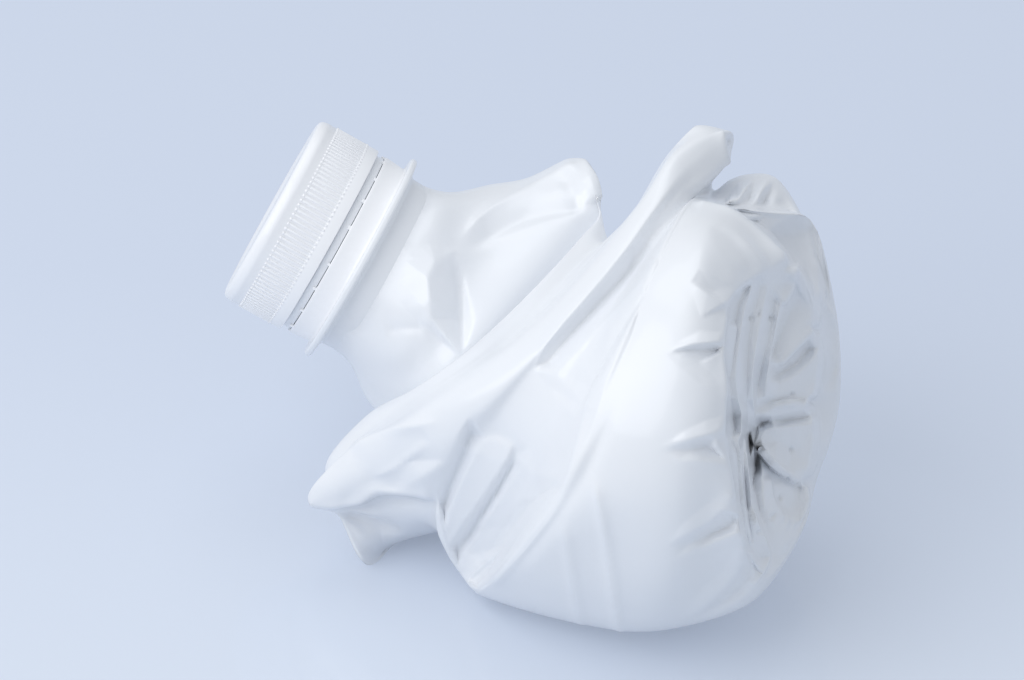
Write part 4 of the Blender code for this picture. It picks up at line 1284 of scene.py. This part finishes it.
def plastic_material(name, colour, shade, roughness, scuff):
    """Procedural glossy plastic with a slow change of colour and an uneven gloss."""
    material = bpy.data.materials.new(name)
    material.use_nodes = True
    tree = material.node_tree
    shader = tree.nodes["Principled BSDF"]
    shader.inputs["Specular IOR Level"].default_value = 0.55
    shader.inputs["IOR"].default_value = 1.5
    shader.inputs["Subsurface Weight"].default_value = 0.0
    shader.inputs["Coat Weight"].default_value = 0.35
    shader.inputs["Coat Roughness"].default_value = 0.10
    clouds = add_spread(tree, add_noise(tree, 28.0, 4.0))
    tree.links.new(add_mix(tree, clouds, shade, colour), shader.inputs["Base Color"])
    gloss = add_noise(tree, 45.0, 2.0)
    dullness = add_spread(tree, gloss, roughness - 0.03, roughness + 0.05 + scuff)
    tree.links.new(dullness, shader.inputs["Roughness"])
    return material


bottle_plastic = plastic_material(
    "blown white plastic", colour=(0.87, 0.89, 0.92), shade=(0.84, 0.865, 0.905), roughness=0.34, scuff=0.0)
cap_plastic = plastic_material(
    "moulded cap plastic", colour=(0.93, 0.94, 0.96), shade=(0.91, 0.92, 0.95), roughness=0.40, scuff=0.05)
print("materials:", bottle_plastic.name, "and", cap_plastic.name)

# %% [markdown]
# ## Dressing the pieces
# Each piece gets its plastic and hangs under the body that it moves with, and the imported part of the node
# that it stands for is hidden. The torn ring lies on the neck, so it moves with the bottle and not with the
# cap.

# %% Dressing the pieces
for piece in (body_skin, shoulder_skin, neck):
    piece.data.materials.append(bottle_plastic)
    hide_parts("bottle")
    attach(piece, "bottle")
for piece in (cap, rib):
    piece.data.materials.append(cap_plastic)
    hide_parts("cap")
    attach(piece, "cap")
for piece in (tamper_ring, torn_bridges):
    piece.data.materials.append(cap_plastic)
    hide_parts("tamper_band")
    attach(piece, "bottle")
print("finishes on all pieces")

# %% [markdown]
# ## The camera
# The photo looks down on the bottle by thirty degrees. The camera stands where the drawing board's eye is.

# %% The camera
SENSOR_WIDTH = 36.0
PICTURE_WIDTH = 1024.0
eye = set_down + np.array((0.0, -tilt_cosine, tilt_sine)) * EYE_DISTANCE * MM
camera_data = bpy.data.cameras.new("camera")
camera_data.sensor_width = SENSOR_WIDTH
camera_data.lens = SENSOR_WIDTH * EYE_DISTANCE / (PICTURE_WIDTH / STEPS_PER_MM)
camera_data.clip_end = 20.0
camera = bpy.data.objects.new("camera", camera_data)
camera.location = eye
camera.rotation_euler = (math.pi / 2.0 - math.radians(EYE_ELEVATION), 0.0, 0.0)
bpy.context.collection.objects.link(camera)
bpy.context.scene.camera = camera

# %% [markdown]
# ## The floor
# The bottle lies on a pale bluish sheet that mirrors it faintly. Painted shade makes the sheet darker and bluer
# towards the back, so its colour follows the distance, and a weak painted glow of its own lightens the bottle's
# shadow on it and keeps it as even as it looks.

# %% The floor
# Painted shade: the floor's colour turns darker and bluer from the near end to the far end.
FLOOR_FAR_PAINTED_SHADE = (0.485, 0.537, 0.637)
FLOOR_NEAR_PAINTED_LIGHT = (0.555, 0.603, 0.675)
# Painted light: the floor's own glow lightens the bottle's shadow on it.
FLOOR_PAINTED_GLOW = 0.30
SHADE_RAMP_NEAR = -0.16
SHADE_RAMP_FAR = 0.12
deselect_all()
bpy.ops.mesh.primitive_plane_add(size=6.0, location=(0.0, 0.0, -0.0002))
floor = bpy.context.object
floor.name = "floor"
floor_material = bpy.data.materials.new("pale floor")
floor_material.use_nodes = True
floor_tree = floor_material.node_tree
floor_shader = floor_tree.nodes["Principled BSDF"]
floor_place = floor_tree.nodes.new("ShaderNodeTexCoord")
floor_axes = floor_tree.nodes.new("ShaderNodeSeparateXYZ")
floor_tree.links.new(floor_place.outputs["Object"], floor_axes.inputs["Vector"])
painted_shade_ramp = floor_tree.nodes.new("ShaderNodeMapRange")
painted_shade_ramp.inputs["From Min"].default_value = SHADE_RAMP_NEAR
painted_shade_ramp.inputs["From Max"].default_value = SHADE_RAMP_FAR
floor_tree.links.new(floor_axes.outputs["Y"], painted_shade_ramp.inputs["Value"])
# The ramp from the near colour to the far colour is painted shade.
floor_colour_with_painted_shade = add_mix(floor_tree, painted_shade_ramp.outputs["Result"], FLOOR_NEAR_PAINTED_LIGHT, FLOOR_FAR_PAINTED_SHADE)
floor_tree.links.new(floor_colour_with_painted_shade, floor_shader.inputs["Base Color"])
# The floor colour also glows, as painted light that fills the shadows on the floor.
floor_tree.links.new(floor_colour_with_painted_shade, floor_shader.inputs["Emission Color"])
floor_shader.inputs["Emission Strength"].default_value = FLOOR_PAINTED_GLOW
floor_shader.inputs["Roughness"].default_value = 0.10
floor_shader.inputs["Specular IOR Level"].default_value = 0.35
floor.data.materials.append(floor_material)
print("floor under the bottle")

# %% [markdown]
# ## The lights
# The light is soft and comes from the upper left, as through a large window, and the side with the base stays
# in the shade. Two square softboxes give that, and the pale world around them fills the shadows.

# %% The lights
world = bpy.data.worlds.new("studio")
bpy.context.scene.world = world
world.use_nodes = True
background = world.node_tree.nodes["Background"]
background.inputs["Color"].default_value = (0.90, 0.94, 1.0, 1.0)
background.inputs["Strength"].default_value = 0.62


def soft_lamp(name, place, target, size, power, colour):
    """A square softbox that looks at a target."""
    lamp_data = bpy.data.lights.new(name, "AREA")
    lamp_data.shape = "SQUARE"
    lamp_data.size = size
    lamp_data.energy = power
    lamp_data.color = colour
    lamp = bpy.data.objects.new(name, lamp_data)
    lamp.location = place
    direction = Vector(target) - Vector(place)
    lamp.rotation_euler = direction.to_track_quat("-Z", "Y").to_euler()
    bpy.context.collection.objects.link(lamp)


BOTTLE_MIDDLE = (0.0, 0.0, 0.03)
soft_lamp("window", (-0.70, -0.45, 0.75), BOTTLE_MIDDLE, size=1.05, power=6.2, colour=(1.0, 0.99, 0.98))
soft_lamp("sky", (-0.15, 0.5, 1.1), BOTTLE_MIDDLE, size=0.9, power=2.3, colour=(0.96, 0.98, 1.0))
bpy.context.scene.view_settings.view_transform = "Standard"
print("two soft lamps and a pale sky")

# %% [markdown]
# ## The end
# The script ends here.

# %% The end
import json
